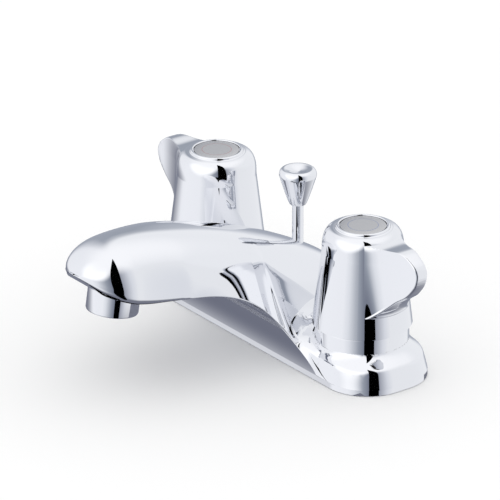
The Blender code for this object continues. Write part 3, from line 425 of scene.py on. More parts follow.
def smooth_max(a, b, width):
    """The larger of two values, rounded over where they differ by less than the width."""
    near = np.maximum(width - np.abs(a - b), 0.0) / width
    return np.maximum(a, b) + near * near * width / 4


def top_height(x, y):
    """The body's upper surface over its plan: the arch of the spout blended with the deck."""
    spout = y < -DECK_HALF_DEPTH
    base = np.where(spout, arch_base(y), FOOT_HEIGHT)
    roll = np.clip((DECK_HALF_DEPTH - y) / CROWN_ROLL, 0.0, 1.0)
    crown = crown_height(y)
    rolled = FOOT_HEIGHT + (crown - FOOT_HEIGHT) * np.sqrt(np.sin(roll * np.pi / 2))
    crown = np.where(spout, np.maximum(crown, base), rolled)
    share = arch_share(x, flank_half_width(y), tail_width(y), section_power(y))
    arch = base + np.maximum(crown - base, 0.0) * share
    deck = pillow_height(x, y)
    blend = 1 - smooth_step(-DECK_HALF_DEPTH - y, 0.0, BLEND_REACH)
    blend = np.maximum(DECK_BLEND * blend * smooth_step(arch - base, 0.0, BLEND_RISE), PINHOLE)
    return np.where(y < -DECK_HALF_DEPTH - BLEND_END, arch, smooth_max(arch, deck, blend))


TAIL_TABLE = tail_table()


def grid_faces(rows, columns, closed=False):
    """Quads between neighbouring points of a grid whose points are numbered row by row."""
    last = columns if closed else columns - 1
    faces = []
    for j in range(rows - 1):
        for i in range(last):
            k = (i + 1) % columns
            faces.append((j * columns + i, j * columns + k, (j + 1) * columns + k, (j + 1) * columns + i))
    return faces


def mesh_object(name, points, faces, normals=None):
    """A smooth object from arrays. The normals are one for each point."""
    if normals is not None:
        corners = np.array([face[:3] for face in faces])
        a, b, c = points[corners[:, 0]], points[corners[:, 1]], points[corners[:, 2]]
        last = points[np.array([face[-1] for face in faces])]
        facing = np.cross(c - a, last - b) + np.cross(b - a, c - a)
        if np.sum(facing * normals[corners[:, 0]]) < 0.0:
            faces = [face[::-1] for face in faces]
    mesh = bpy.data.meshes.new(name)
    mesh.from_pydata([tuple(p) for p in points], [], faces)
    mesh.shade_smooth()
    if normals is not None:
        mesh.normals_split_custom_set_from_vertices([tuple(n) for n in normals])
    obj = bpy.data.objects.new(name, mesh)
    bpy.context.scene.collection.objects.link(obj)
    return obj


def joined(name, pieces):
    """One object from several."""
    bpy.ops.object.select_all(action="DESELECT")
    for piece in pieces:
        piece.select_set(True)
    bpy.context.view_layer.objects.active = pieces[0]
    bpy.ops.object.join()
    pieces[0].name = name
    pieces[0].data.name = name
    return pieces[0]


def unit(vectors):
    return vectors / np.maximum(np.linalg.norm(vectors, axis=-1, keepdims=True), 1e-12)


def surface_normals(surface, s, t, step=SLOPE_STEP):
    """Normals of surface(s, t) by central differences, for arrays of s and t."""
    along_s = surface(s + step, t) - surface(s - step, t)
    along_t = surface(s, t + step) - surface(s, t - step)
    return unit(np.cross(along_s, along_t))


def plan_half(y):
    """The plan outline's half width at y."""
    spout = arch_half_width(y) + outline_flare(y)
    return np.where(y < -DECK_HALF_DEPTH, spout, deck_half_length(y))


def lift(x, y):
    return np.stack([x, y, top_height(x, y)], axis=-1)


def off_collar(x, y):
    """Points inside a collar's circle moved just outside it, where the surface turns up into the collar."""
    side = np.sign(x)
    across = np.abs(x) - VALVE_X
    distance = np.maximum(np.hypot(across, y), TINY)
    grow = np.maximum((COLLAR_RADIUS + COLLAR_STEP) / distance, 1.0)
    return np.where(grow > 1.0, side * (VALVE_X + across * grow), x), np.where(grow > 1.0, y * grow, y)


def column_shares(y):
    """Where the columns lie across the plan: closer at the spout's edges, and over the deck's ends."""
    share = np.linspace(-1.0, 1.0, SHEET_COLUMNS)
    stops = (-1.0, -ARCH_COLUMNS, ARCH_COLUMNS, 1.0)
    deck = np.interp(share, stops, (-1.0, -ARCH_WIDTH, ARCH_WIDTH, 1.0))
    spout = np.sin(share * np.pi / 2)
    return spout + (deck - spout) * float(smooth_step(np.array(y), COLUMN_CHANGE_Y, -DECK_HALF_DEPTH))


def sheet(ys):
    """Rows of the upper surface at the given y, each spread over the plan outline's width."""
    points, normals = [], []
    for y in ys:
        half = float(plan_half(y))
        x = half * column_shares(y)
        row = np.full_like(x, y)
        z = top_height(x, row)
        if y < -DECK_HALF_DEPTH:
            z = np.maximum(z, sweep_height(row) + lip_height(row))
        to_collar = np.hypot(np.abs(x) - VALVE_X, row) - COLLAR_RADIUS
        z = z - FLARE_SINK * np.clip((FLARE_RING - to_collar) / SINK_FADE, 0.0, 1.0)
        points.append(np.stack([x, row, z], axis=-1))
        inset = np.clip(x, EDGE_STEP - half, half - EDGE_STEP)
        inset_y = np.clip(row, SPOUT_TIP_Y + EDGE_STEP, DECK_HALF_DEPTH - EDGE_STEP)
        inset, inset_y = off_collar(inset, inset_y)
        normals.append(surface_normals(lift, inset, inset_y))
    faces = grid_faces(len(points), len(points[0]))
    return np.concatenate(points), faces, np.concatenate(normals)


def spout_rows():
    """The y of the rows along the spout: closer round the tip and before the deck."""
    turn = np.linspace(0.02, 1.0, TIP_ROWS) * np.pi / 2
    tip = SPOUT_TIP_Y + SPOUT_TIP_RADIUS * (1 - np.cos(turn))
    middle = np.linspace(SPOUT_TIP_Y + SPOUT_TIP_RADIUS, ROOT_ROWS_Y, MIDDLE_ROWS)[1:]
    share = np.linspace(1.0, 0.0, ROOT_ROWS)[1:] ** ROOT_CROWDING
    root = -DECK_HALF_DEPTH + share * (ROOT_ROWS_Y + DECK_HALF_DEPTH)
    return np.concatenate([tip, middle, root])


def spout_top():
    return sheet(spout_rows())


def deck_top():
    share = np.linspace(-1.0, 1.0, DECK_ROWS)
    return sheet(DECK_HALF_DEPTH * (0.75 * share + 0.25 * np.sin(share * np.pi / 2)))


def collar_flare(side):
    """The ring of the deck that turns up into a collar, on a mesh that follows the collar's circle."""
    angles = np.linspace(0.0, 2 * np.pi, 180, endpoint=False)
    distances = FLARE_RING * np.linspace(0.0, 1.0, 16) ** 2
    points, normals = [], []
    for distance in distances:
        radius = COLLAR_RADIUS + distance
        x, y = VALVE_X + radius * np.cos(angles), radius * np.sin(angles)
        x, y = off_collar(side * x, np.clip(y, EDGE_STEP - DECK_HALF_DEPTH, DECK_HALF_DEPTH - EDGE_STEP))
        sink = FLARE_SINK * (distance / FLARE_RING) ** 4
        points.append(lift(x, y) - np.array([0.0, 0.0, 1.0]) * sink)
        normals.append(surface_normals(lift, x, y))
    faces = grid_faces(len(distances), len(angles), closed=True)
    return np.concatenate(points), faces, np.concatenate(normals)


def belly(y):
    """How far the spout's underside hangs below its edge."""
    return BELLY_DEPTH * smooth_step(y, *BELLY_FRONT) * (1 - smooth_step(y, *BELLY_BACK))


def spout_lip(side):
    """The thin rounded edge between the spout's flank and its underside."""
    ys = spout_rows()
    half = plan_half(ys)
    top = np.maximum(top_height(half - TINY, ys), sweep_height(ys) + lip_height(ys))
    hang = belly(ys)
    low = sweep_height(ys) - hang
    outward = unit(np.stack([np.ones_like(ys), -np.gradient(half, ys)], axis=-1))
    slope = np.gradient(low, ys)
    down = unit(np.stack([np.zeros_like(ys), slope, -np.ones_like(ys)], axis=-1))
    flank = surface_normals(lift, half - 1.5 * EDGE_STEP, np.maximum(ys, SPOUT_TIP_Y + EDGE_STEP))
    steps = 8
    points, normals = [], []
    for k in range(steps + 1):
        t = k / steps
        bulge = 0.3 * (top - low) * np.sin(np.pi * t)
        out = np.clip(bulge, 0.0, LIP_BULGE) - BELLY_SLANT * hang * t
        plan = np.stack([half, ys], axis=-1) + outward * out[:, None]
        points.append(np.column_stack([plan[:, 0] * side, plan[:, 1], top + (low - top) * t]))
        turned_out = np.column_stack([outward, np.zeros_like(ys)])
        normal = unit(flank * (1 - t) ** 2 + turned_out * 2 * t * (1 - t) + down * t * t)
        normals.append(normal * np.array([side, 1.0, 1.0]))
    return np.concatenate(points), grid_faces(steps + 1, len(ys)), np.concatenate(normals)


def body_front():
    """The wall that rises from the deck's front edge and runs on as the spout's underside."""
    y = np.concatenate([spout_rows(), [-DECK_HALF_DEPTH]])
    half = arch_half_width(y) + outline_flare(y) - BELLY_SLANT * belly(y)
    columns = 31
    z = sweep_height(y) - belly(y)
    step = 0.001 * MM
    before, after = sweep_height(y - step), sweep_height(y + step)
    slope = (after - before) / np.where(y > -DECK_HALF_DEPTH - step, step, 2 * step)
    points = np.zeros((len(y), columns, 3))
    points[..., 0] = half[:, None] * np.linspace(-1.0, 1.0, columns)
    points[..., 1], points[..., 2] = y[:, None], z[:, None]
    normal = unit(np.stack([np.zeros_like(y), slope, -np.ones_like(y)], axis=-1))
    normals = np.repeat(normal[:, None, :], columns, 1)
    return points.reshape(-1, 3), grid_faces(len(y), columns), normals.reshape(-1, 3)


def deck_outline(inset, count=64):
    """The deck's outline, moved inwards, as one ring of points."""
    corner = DECK_CORNER - inset
    centre_x, centre_y = DECK_HALF_LENGTH - DECK_CORNER, DECK_HALF_DEPTH - DECK_CORNER
    ring, normals = [], []
    for k, (sx, sy) in enumerate(((1, 1), (-1, 1), (-1, -1), (1, -1))):
        for angle in (k + np.linspace(0.0, 1.0, count)) * np.pi / 2:
            ring.append((sx * centre_x + corner * np.cos(angle), sy * centre_y + corner * np.sin(angle)))
            normals.append((np.cos(angle), np.sin(angle)))
    return np.array(ring), np.array(normals)


def body_foot():
    """The upright band round the deck's foot, the rim under it and the recess inside."""
    outer, out = deck_outline(0.0)
    inner, _ = deck_outline(DECK_WALL)
    count = len(outer)
    rings, normals = [], []
    for ring, z, facing in (
        (outer, FOOT_HEIGHT, "out"),
        (outer, 0.0, "out"),
        (outer, 0.0, "down"),
        (inner, 0.0, "down"),
        (inner, 0.0, "in"),
        (inner, RECESS_DEPTH, "in"),
        (inner, RECESS_DEPTH, "down"),
        (inner * 0.02, RECESS_DEPTH, "down"),
    ):
        rings.append(np.column_stack([ring, np.full(count, z)]))
        if facing == "down":
            normals.append(np.tile((0.0, 0.0, -1.0), (count, 1)))
        else:
            normals.append(np.column_stack([out if facing == "out" else -out, np.zeros(count)]))
    faces = grid_faces(len(rings), count, closed=True)
    return np.concatenate(rings), faces, np.concatenate(normals)


def collar(side):
    """The upright collar under a handle and the bore in it."""
    angles = np.linspace(0.0, 2 * np.pi, 144, endpoint=False)
    direction = np.stack([np.cos(angles), np.sin(angles), 0 * angles], axis=-1)
    upward = np.array([0.0, 0.0, 1.0])
    profile = [
        (COLLAR_BORE, VALVE_SEAT_Z, -1.0, 0.0),
        (COLLAR_BORE, COLLAR_TOP, -1.0, 0.0),
        (COLLAR_BORE, COLLAR_TOP, 0.0, 1.0),
    ]
    for k in range(7):
        a = k / 6 * math.pi / 2
        radius = COLLAR_RADIUS - COLLAR_ROUND * (1 - math.sin(a))
        profile.append((radius, COLLAR_TOP - COLLAR_ROUND * (1 - math.cos(a)), math.sin(a), math.cos(a)))
    profile.append((COLLAR_RADIUS, COLLAR_ROOT_Z, 1.0, 0.0))
    points, normals = [], []
    for radius, z, out, up in profile:
        points.append(direction * radius + upward * z + np.array([side * VALVE_X, 0.0, 0.0]))
        normals.append(unit(direction * out + upward * up))
    faces = grid_faces(len(profile), len(angles), closed=True)
    return np.concatenate(points), faces, np.concatenate(normals)


def under_boss(x, y, inner, outer):
    """A boss in the deck's recess with its bore."""
    profile = [(outer, RECESS_DEPTH), (outer, 0.0), (inner, 0.0), (inner, RECESS_DEPTH)]
    made = turned("under_boss", profile, 64)
    made.location = (x, y, 0.0)
    return made


def make_body(chrome):
    """The casting in one piece: deck, spout, collars and the bosses in the recess."""
    sheets = [spout_top(), deck_top(), body_front(), body_foot()]
    for side in (-1, 1):
        sheets += [spout_lip(side), collar(side), collar_flare(side)]
    pieces = [mesh_object("body_part", *arrays) for arrays in sheets]
    for side in (-1, 1):
        pieces.append(under_boss(side * VALVE_X, 0.0, SHANK_SOCKET_RADIUS, RECESS_BOSS_RADIUS))
    pieces.append(under_boss(0.0, ROD_Y, BUSH_RADIUS, BUSH_BOSS_RADIUS))
    for piece in pieces:
        piece.data.materials.append(chrome)
    body = joined("cast_body", pieces)
    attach(body, "root")
    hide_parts("faucet_body")


def cone_radius(z):
    """The handle's radius without its wing: a skirt that narrows to the shoulder, and a dome above."""
    share = (z - HANDLE_RIM_Z) / (HANDLE_SHOULDER_Z - HANDLE_RIM_Z)
    skirt = HANDLE_RIM_RADIUS + (HANDLE_SHOULDER_RADIUS - HANDLE_RIM_RADIUS) * share
    share = np.clip((z - HANDLE_SHOULDER_Z) / (HANDLE_TOP_Z - HANDLE_SHOULDER_Z), 0.0, 1.0)
    drop = 1 - np.sqrt(np.maximum(1 - share**DOME_POWER, 0.0))
    dome = HANDLE_SHOULDER_RADIUS - (HANDLE_SHOULDER_RADIUS - BEZEL_RADIUS) * drop
    return np.where(z <= HANDLE_SHOULDER_Z, skirt, dome)


def smooth_min(a, b, width):
    near = np.maximum(width - np.abs(a - b), 0.0) / width
    return np.minimum(a, b) - near * near * width / 4


EAR_REACH = cubic(EAR_OUTLINE)


def ear_radius(angle, z):
    """The wing's outline at one height, as a radius for each angle: two faces and a rounded tip."""
    reach = float(np.interp(z, EAR_REACH[:, 0], EAR_REACH[:, 1]))
    cone = float(cone_radius(z))
    faces = []
    for curve, limit in ((EAR_FRONT, EAR_FRONT_ANGLE), (EAR_BACK, EAR_BACK_ANGLE)):
        rows = bezier(curve, 600)
        angles, radii = np.arctan2(rows[:, 1], rows[:, 0]), np.hypot(rows[:, 0], rows[:, 1])
        radii = radii + (cone - EAR_ROOT_RADIUS) * np.clip(angles / math.radians(limit), 0.0, 1.0)
        face = np.stack([radii * np.cos(angles), radii * np.sin(angles)], axis=-1)
        face = face[np.argsort(face[:, 0])]
        start = reach - EAR_EDGE
        kept = face[face[:, 0] < start]
        if len(kept) == 0:
            return np.zeros_like(angle)
        inward = 1.0 if curve is EAR_FRONT else -1.0
        turn = np.linspace(0.0, np.pi / 2, 30)
        arc = kept[-1] + EAR_EDGE * np.stack([np.sin(turn), inward * (1 - np.cos(turn))], axis=-1)
        faces += [kept, arc]
    rows = np.concatenate(faces)
    angles, radii = np.arctan2(rows[:, 1], rows[:, 0]), np.hypot(rows[:, 0], rows[:, 1])
    order = np.argsort(angles, kind="stable")
    return np.interp(angle, angles[order], radii[order], left=0.0, right=0.0)


def handle_radius(angle, z):
    """The handle's outline at one height: the cone, with the wing blended in."""
    cone = float(cone_radius(z))
    first, last = math.radians(EAR_FRONT_ANGLE), math.radians(EAR_BACK_ANGLE)
    share = np.clip(np.where(angle < 0.0, angle / first, angle / last), 0.0, 1.0)
    shaped = -smooth_min(-cone, -ear_radius(angle, z), EAR_ROOT_BLEND * (1 - share) + LEAST_BLEND)
    return np.where((angle > first) & (angle < last), shaped, cone)


def make_handle(side, name, chrome):
    """A handle in one piece: its outside with the wing and the bezel, and its hollow inside with the hub."""
    # The points of a ring lie closest over the wing.
    degrees = np.concatenate([
        np.linspace(-44, -10, 60, endpoint=False),
        np.linspace(-10, 14, 120, endpoint=False),
        np.linspace(14, 56, 60, endpoint=False),
        np.linspace(56, 316, 120, endpoint=False),
    ])
    angles = np.radians(np.where(degrees > 180, degrees - 360, degrees))
    count = len(angles)
    levels = np.concatenate([
        np.linspace(HANDLE_RIM_Z, EAR_FOOT_Z, 8, endpoint=False),
        np.linspace(EAR_FOOT_Z, EAR_TOP_Z, 110, endpoint=False),
        np.linspace(EAR_TOP_Z, HANDLE_TOP_Z - PINHOLE, 70),
    ])
    grid = []
    for z in levels:
        radius = handle_radius(angles, z)
        grid.append(np.stack([radius * np.cos(angles), radius * np.sin(angles), np.full(count, z)], axis=-1))
    grid = np.array(grid)
    rise = smooth_step(grid[..., 0], *EAR_RISE_X) * smooth_step(grid[..., 2], *EAR_RISE_Z)
    grid[..., 2] += EAR_TIP_RISE * rise
    around = np.roll(grid, -1, axis=1) - np.roll(grid, 1, axis=1)
    rings, normals = list(grid), list(unit(np.cross(around, np.gradient(grid, axis=0))))
    direction = np.stack([np.cos(angles), np.sin(angles), np.zeros(count)], axis=-1)
    up = np.tile((0.0, 0.0, 1.0), (count, 1))

    def ring(radius, z, out, upward):
        rings.append(direction * radius + up * z)
        normals.append(unit(direction * out + up * upward))

    low = HANDLE_TOP_Z + BEZEL_STEP
    for angle in np.linspace(0.0, np.pi / 2, 9):
        radius = RING_RADIUS + (BEZEL_RADIUS - RING_RADIUS) * (1 - np.sin(angle))
        ring(radius, low - BEZEL_STEP * np.cos(angle), np.sin(angle) * 0.8, np.cos(angle) + 0.2)
    for angle in np.linspace(0.0, np.pi / 2, 9):
        radius = RING_RADIUS - BEZEL_ROUND * (1 - np.cos(angle))
        ring(radius, low + (BEZEL_TOP - low) * np.sin(angle), np.cos(angle), np.sin(angle))
    recess = BUTTON_RADIUS + BUTTON_GAP
    for angle in np.linspace(0.0, np.pi / 2, 5):
        radius = recess + RECESS_ROUND * (1 - np.sin(angle))
        ring(radius, BEZEL_TOP - RECESS_ROUND * (1 - np.cos(angle)), -np.sin(angle), np.cos(angle))
    seat = BUTTON_TOP - BUTTON_THICKNESS
    ring(recess, seat, -1, 0)
    ring(recess, seat, 0, 1)
    ring(0.1 * MM, seat, 0, 1)
    faces = grid_faces(len(rings), count, closed=True)
    outside = mesh_object("handle_outside", np.concatenate(rings), faces, np.concatenate(normals))
    rings, normals = [], []
    mouth = HANDLE_RIM_RADIUS - HANDLE_WALL
    roof = float(cone_radius(CAVITY_TOP)) - HANDLE_WALL
    for radius, z, out, upward in (
        (HANDLE_RIM_RADIUS, HANDLE_RIM_Z, 0, -1),
        (mouth, HANDLE_RIM_Z, 0, -1),
        (mouth, HANDLE_RIM_Z, -1, 0),
        (roof, CAVITY_TOP, -1, 0),
        (roof, CAVITY_TOP, 0, -1),
        (HUB_RADIUS, CAVITY_TOP, 0, -1),
        (HUB_RADIUS, CAVITY_TOP, 1, 0),
        (HUB_RADIUS, HUB_BOTTOM, 1, 0),
        (HUB_RADIUS, HUB_BOTTOM, 0, -1),
        (SCREW_HOLE_RADIUS, HUB_BOTTOM, 0, -1),
    ):
        ring(radius, z, out, upward)
    faces = grid_faces(len(rings), count, closed=True)
    inside = mesh_object("handle_inside", np.concatenate(rings), faces, np.concatenate(normals))
    for piece in (outside, inside):
        piece.data.materials.append(chrome)
    handle = joined(f"{name}_lever", [outside, inside])
    half_turn = Matrix.Rotation(0.0 if side > 0 else math.pi, 4, "Z")
    handle.matrix_world = Matrix.Translation((side * VALVE_X, 0, 0)) @ half_turn
    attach(handle, f"{name}_handle_body")
    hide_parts(f"{name}_handle")


def turned(name, profile, steps=96):
    """A round piece about Z from (radius, z) points."""
    angles = np.linspace(0.0, 2 * np.pi, steps, endpoint=False)
    circle = np.stack([np.cos(angles), np.sin(angles), np.zeros(steps)], axis=-1)
    points = [circle * radius + np.array([0.0, 0.0, z]) for radius, z in profile]
    obj = mesh_object(name, np.concatenate(points), grid_faces(len(profile), steps, closed=True))
    obj.data.set_sharp_from_angle(angle=math.radians(40))
    return obj


def make_camera():
    """The camera, aimed beside the origin so that the faucet stands where the photograph has it."""
    azimuth, elevation = math.radians(CAMERA_AZIMUTH), math.radians(CAMERA_ELEVATION)
    right = Vector((math.cos(azimuth), math.sin(azimuth), 0.0))
    back = Vector((
        math.sin(azimuth) * math.cos(elevation),
        -math.cos(azimuth) * math.cos(elevation),
        math.sin(elevation),
    ))
    up = back.cross(right)
    data = bpy.data.cameras.new("camera")
    data.sensor_width = SENSOR
    data.lens = FOCAL_PIXELS / PICTURE_PIXELS * SENSOR
    data.clip_start, data.clip_end = 0.05, 50.0
    camera = bpy.data.objects.new("camera", data)
    bpy.context.scene.collection.objects.link(camera)
    turn = Matrix((right, up, back)).transposed()
    place = back * CAMERA_DISTANCE - right * LOOK_RIGHT + up * LOOK_UP
    camera.matrix_world = Matrix.Translation(place) @ turn.to_4x4()
    bpy.context.scene.camera = camera


def principled(name, colour, metallic, roughness):
    made = bpy.data.materials.new(name)
    made.use_nodes = True
    shader = made.node_tree.nodes["Principled BSDF"]
    shader.inputs["Base Color"].default_value = (*colour, 1.0)
    shader.inputs["Metallic"].default_value = metallic
    shader.inputs["Roughness"].default_value = roughness
    return made


def direction_of(azimuth, elevation):
    """The unit vector of a direction given in degrees."""
    a, e = math.radians(azimuth), math.radians(elevation)
    return (math.cos(a) * math.cos(e), math.sin(a) * math.cos(e), math.sin(e))


# The paper floor, and a dark block under it that stands for the shade below the faucet. The block is a
# painted reflection of that shade, seen in the chrome alone.
FLOOR_SIZE = 12.0
FLOOR_Z = -0.3 * MM
BLOCK_SIZE = (150.0 * MM, 42.0 * MM, 85.0 * MM)
BLOCK_Z = -43.0 * MM
PAINTED_SHADE_TONE = (0.20, 0.21, 0.26)


def make_stage():
    """The floor and the block of painted reflected shade. The floor isn't seen in the chrome, which reflects
    the tent instead.
    """
    bpy.ops.mesh.primitive_plane_add(size=FLOOR_SIZE, location=(0.0, 0.0, FLOOR_Z))
    floor = bpy.context.active_object
    floor.name = "floor"
    made = principled("floor_paper", (0.95, 0.95, 0.95), 0.0, 0.9)
    made.node_tree.nodes["Principled BSDF"].inputs["Specular IOR Level"].default_value = 0.0
    floor.data.materials.append(made)
    floor.visible_glossy = False
    bpy.ops.mesh.primitive_cube_add(size=1.0, location=(0.0, 0.0, BLOCK_Z))
    block = bpy.context.active_object
    block.name = "reflected_shade_block"
    block.scale = BLOCK_SIZE
    # The block's dark grey is painted shade, shown only in the chrome's reflections.
    block.data.materials.append(principled("reflected_shade_grey", PAINTED_SHADE_TONE, 0.0, 0.9))
    block.visible_camera = False
    block.visible_shadow = False
    block.visible_diffuse = False


# The tent round the faucet: its tone against azimuth in degrees. The slit in it is black.
SLIT = (-33.0, -8.0)
SLIT_TOP = 89.9
TENT = (
    (-180.0, 0.98, 0.99, 1.02),
    (-130.0, 1.03, 1.04, 1.07),
    (-84.0, 1.01, 1.02, 1.05),
    (-70.0, 0.86, 0.88, 0.92),
    (-46.0, 0.36, 0.39, 0.45),
    (-33.0, 0.21, 0.23, 0.29),
    (-8.0, 0.36, 0.38, 0.44),
    (14.0, 0.80, 0.82, 0.87),
    (28.0, 0.95, 0.96, 0.98),
    (115.0, 0.98, 0.99, 1.01),
    (130.0, 0.80, 0.82, 0.87),
    (143.0, 0.38, 0.41, 0.47),
    (158.0, 0.40, 0.43, 0.49),
    (174.0, 0.92, 0.93, 0.97),
    (180.0, 0.98, 0.99, 1.02),
)
# Soft areas over the tent: azimuth, elevation, the angle of full tone, the angle where it ends, tone.
SOFT_AREAS = (
    (-85.0, 38.0, 25.0, 48.0, (1.3, 1.3, 1.3)),
    (90.0, 45.0, 41.0, 52.0, (0.99, 1.0, 1.02)),
    (30.0, 88.0, 12.0, 60.0, (1.15, 1.15, 1.16)),
    (145.0, -28.0, 16.0, 38.0, (0.40, 0.43, 0.50)),
    (175.0, -50.0, 12.0, 50.0, (0.17, 0.18, 0.235)),
    (0.0, -90.0, 25.0, 60.0, (0.20, 0.21, 0.26)),
)


def tent_colour(nodes, links, direction):
    """The tent's tone for a direction, and whether the direction is in the slit, as two sockets."""
    axes = nodes.new("ShaderNodeSeparateXYZ")
    links.new(direction, axes.inputs[0])
    angle = nodes.new("ShaderNodeMath")
    angle.operation = "ARCTAN2"
    links.new(axes.outputs["Y"], angle.inputs[0])
    links.new(axes.outputs["X"], angle.inputs[1])
    share = nodes.new("ShaderNodeMapRange")
    links.new(angle.outputs[0], share.inputs["Value"])
    share.inputs["From Min"].default_value = -math.pi
    share.inputs["From Max"].default_value = math.pi
    ramp = nodes.new("ShaderNodeValToRGB")
    links.new(share.outputs["Result"], ramp.inputs["Fac"])
    elements = ramp.color_ramp.elements
    for azimuth, *tone in TENT[1:-1]:
        elements.new((azimuth + 180) / 360).color = (*tone, 1.0)
    elements[0].color = (*TENT[0][1:], 1.0)
    elements[-1].color = (*TENT[-1][1:], 1.0)
    inside = None
    for source, limit, operation in (
        (angle.outputs[0], math.radians(SLIT[0]), "GREATER_THAN"),
        (angle.outputs[0], math.radians(SLIT[1]), "LESS_THAN"),
        (axes.outputs["Z"], math.sin(math.radians(SLIT_TOP)), "LESS_THAN"),
    ):
        test = nodes.new("ShaderNodeMath")
        test.operation = operation
        links.new(source, test.inputs[0])
        test.inputs[1].default_value = limit
        if inside is None:
            inside = test.outputs[0]
        else:
            both = nodes.new("ShaderNodeMath")
            both.operation = "MULTIPLY"
            links.new(inside, both.inputs[0])
            links.new(test.outputs[0], both.inputs[1])
            inside = both.outputs[0]
    return ramp.outputs["Color"], inside


def mixed(nodes, links, share, first, second):
    """A mix of two colours, each a socket or a tone."""
    mix = nodes.new("ShaderNodeMix")
    mix.data_type = "RGBA"
    links.new(share, mix.inputs["Factor"])
    for name, value in (("A", first), ("B", second)):
        if isinstance(value, tuple):
            mix.inputs[name].default_value = (*value, 1.0)
        else:
            links.new(value, mix.inputs[name])
    return mix.outputs["Result"]


# What lights the surfaces that aren't mirrors.
PLAIN_LIGHT = (1.08, 1.08, 1.08)

# The tones of the metal and of the printed rings.
BUTTON_TONE = (0.55, 0.55, 0.56)
HOT_RING = (0.52, 0.30, 0.30)
COLD_RING = (0.28, 0.33, 0.50)
CHROME_TONE = (0.80, 0.81, 0.84)
CHROME_ROUGHNESS = 0.03


def make_world():
    """The tent as the chrome sees it. Everything else is lit by one plain tone."""
    world = bpy.data.worlds.new("tent")
    bpy.context.scene.world = world
    world.use_nodes = True
    nodes, links = world.node_tree.nodes, world.node_tree.links
    direction = nodes.new("ShaderNodeTexCoord").outputs["Generated"]
    colour, slit = tent_colour(nodes, links, direction)
    for azimuth, elevation, inner, outer, tone in SOFT_AREAS:
        dot = nodes.new("ShaderNodeVectorMath")
        dot.operation = "DOT_PRODUCT"
        links.new(direction, dot.inputs[0])
        dot.inputs[1].default_value = direction_of(azimuth, elevation)
        share = nodes.new("ShaderNodeMapRange")
        share.interpolation_type = "SMOOTHSTEP"
        links.new(dot.outputs["Value"], share.inputs["Value"])
        share.inputs["From Min"].default_value = math.cos(math.radians(outer))
        share.inputs["From Max"].default_value = math.cos(math.radians(inner))
        colour = mixed(nodes, links, share.outputs["Result"], colour, tone)
    colour = mixed(nodes, links, slit, colour, (0.0, 0.0, 0.0))
    glossy = nodes.new("ShaderNodeLightPath").outputs["Is Glossy Ray"]
    colour = mixed(nodes, links, glossy, PLAIN_LIGHT, colour)
    links.new(colour, nodes["Background"].inputs["Color"])
    nodes["Background"].inputs["Strength"].default_value = 1.0


def button_material(name, ring_colour):
    """Satin metal with a thin printed ring."""
    made = principled(name, BUTTON_TONE, 0.8, 0.35)
    nodes, links = made.node_tree.nodes, made.node_tree.links
    place = nodes.new("ShaderNodeTexCoord").outputs["Object"]
    flat = nodes.new("ShaderNodeVectorMath")
    flat.operation = "MULTIPLY"
    flat.inputs[1].default_value = (1.0, 1.0, 0.0)
    links.new(place, flat.inputs[0])
    length = nodes.new("ShaderNodeVectorMath")
    length.operation = "LENGTH"
    links.new(flat.outputs["Vector"], length.inputs[0])
    on_ring = nodes.new("ShaderNodeMath")
    on_ring.operation = "COMPARE"
    links.new(length.outputs["Value"], on_ring.inputs[0])
    on_ring.inputs[1].default_value = PRINTED_RING_RADIUS
    on_ring.inputs[2].default_value = PRINTED_RING_HALF_WIDTH
    colour = mixed(nodes, links, on_ring.outputs[0], BUTTON_TONE, ring_colour)
    links.new(colour, nodes["Principled BSDF"].inputs["Base Color"])
    return made


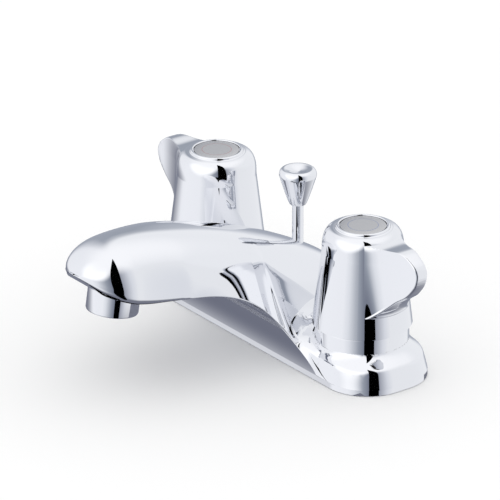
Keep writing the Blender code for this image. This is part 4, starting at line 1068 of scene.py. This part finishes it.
def make_small_pieces(chrome, button):
    """The two button caps, the lift rod, its knob and the outlet housing."""
    low = BUTTON_TOP - BUTTON_THICKNESS
    for side, name in ((-1, "hot"), (1, "cold")):
        profile = [
            (PINHOLE, low),
            (BUTTON_RADIUS, low),
            (BUTTON_RADIUS, BUTTON_TOP - BUTTON_EDGE),
            (BUTTON_RADIUS - 0.1 * MM, BUTTON_TOP - 0.12 * MM),
            (BUTTON_RADIUS - BUTTON_EDGE, BUTTON_TOP - 0.05 * MM),
            (0.6 * BUTTON_RADIUS, BUTTON_TOP),
            (PINHOLE, BUTTON_TOP),
        ]
        cap = turned(f"{name}_button_cap", profile)
        cap.location = (side * VALVE_X, 0.0, 0.0)
        cap.data.materials.append(button[name])
        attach(cap, f"{name}_handle_body")
        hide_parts(f"{name}_index_button")
    rod = turned("rod_shaft", [(ROD_RADIUS, ROD_BOTTOM), (ROD_RADIUS, KNOB_BOTTOM + KNOB_SOCKET)])
    widest = KNOB_TOP - KNOB_CROWN
    foot_edge = KNOB_BOTTOM + KNOB_FOOT_EDGE
    profile = [
        (KNOB_FOOT_BORE, KNOB_BOTTOM),
        (KNOB_FOOT_RADIUS - 0.3 * MM, KNOB_BOTTOM),
        (KNOB_FOOT_RADIUS, foot_edge),
    ]
    for k in range(1, 25):
        share = k / 24
        radius = KNOB_FOOT_RADIUS + (KNOB_RADIUS - KNOB_FOOT_RADIUS) * share**0.9
        profile.append((radius, foot_edge + (widest - foot_edge) * share))
    for k in range(1, 13):
        angle = k / 12 * math.pi / 2
        radius = KNOB_RADIUS - KNOB_RIM * (1 - math.cos(angle))
        profile.append((radius, widest + KNOB_CROWN * math.sin(angle)))
    for k in range(1, 13):
        share = k / 12
        dish = KNOB_DISH * (1 - math.cos(share * math.pi)) / 2
        profile.append(((KNOB_RADIUS - KNOB_RIM) * (1 - share) + PINHOLE, KNOB_TOP - dish))
    knob = turned("rod_knob", profile)
    for piece, node in ((rod, "lift_rod"), (knob, "lift_knob")):
        piece.location = (0.0, ROD_Y, 0.0)
        piece.data.materials.append(chrome)
        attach(piece, "lift_rod_body")
        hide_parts(node)
    inner, lip = OUTLET_BORE, OUTLET_BORE - OUTLET_LIP
    profile = [
        (inner, 6.0 * MM),
        (inner, 2.0 * MM),
        (lip, 2.0 * MM),
        (lip, 0.4 * MM),
        (lip + 0.6 * MM, 0.0),
        (AERATOR_RADIUS - 0.8 * MM, 0.0),
        (AERATOR_RADIUS - 0.25 * MM, 0.22 * MM),
        (AERATOR_RADIUS, 0.8 * MM),
        (AERATOR_RADIUS, AERATOR_HEIGHT),
        (inner, AERATOR_HEIGHT),
    ]
    outlet = turned("outlet_housing", profile)
    foot = Matrix.Translation((0.0, AERATOR_Y, AERATOR_BOTTOM_Z))
    outlet.matrix_world = foot @ Matrix.Rotation(-math.radians(AERATOR_TILT), 4, "X")
    outlet.data.materials.append(chrome)
    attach(outlet, "root")
    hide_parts("aerator_housing")


scene = bpy.context.scene
scene.view_settings.view_transform = "Standard"
make_camera()
make_stage()
make_world()
chrome = principled("chrome", CHROME_TONE, 1.0, CHROME_ROUGHNESS)
button = {
    "hot": button_material("button_hot", HOT_RING),
    "cold": button_material("button_cold", COLD_RING),
}
make_body(chrome)
for side, name in ((-1, "hot"), (1, "cold")):
    make_handle(side, name, chrome)
make_small_pieces(chrome, button)
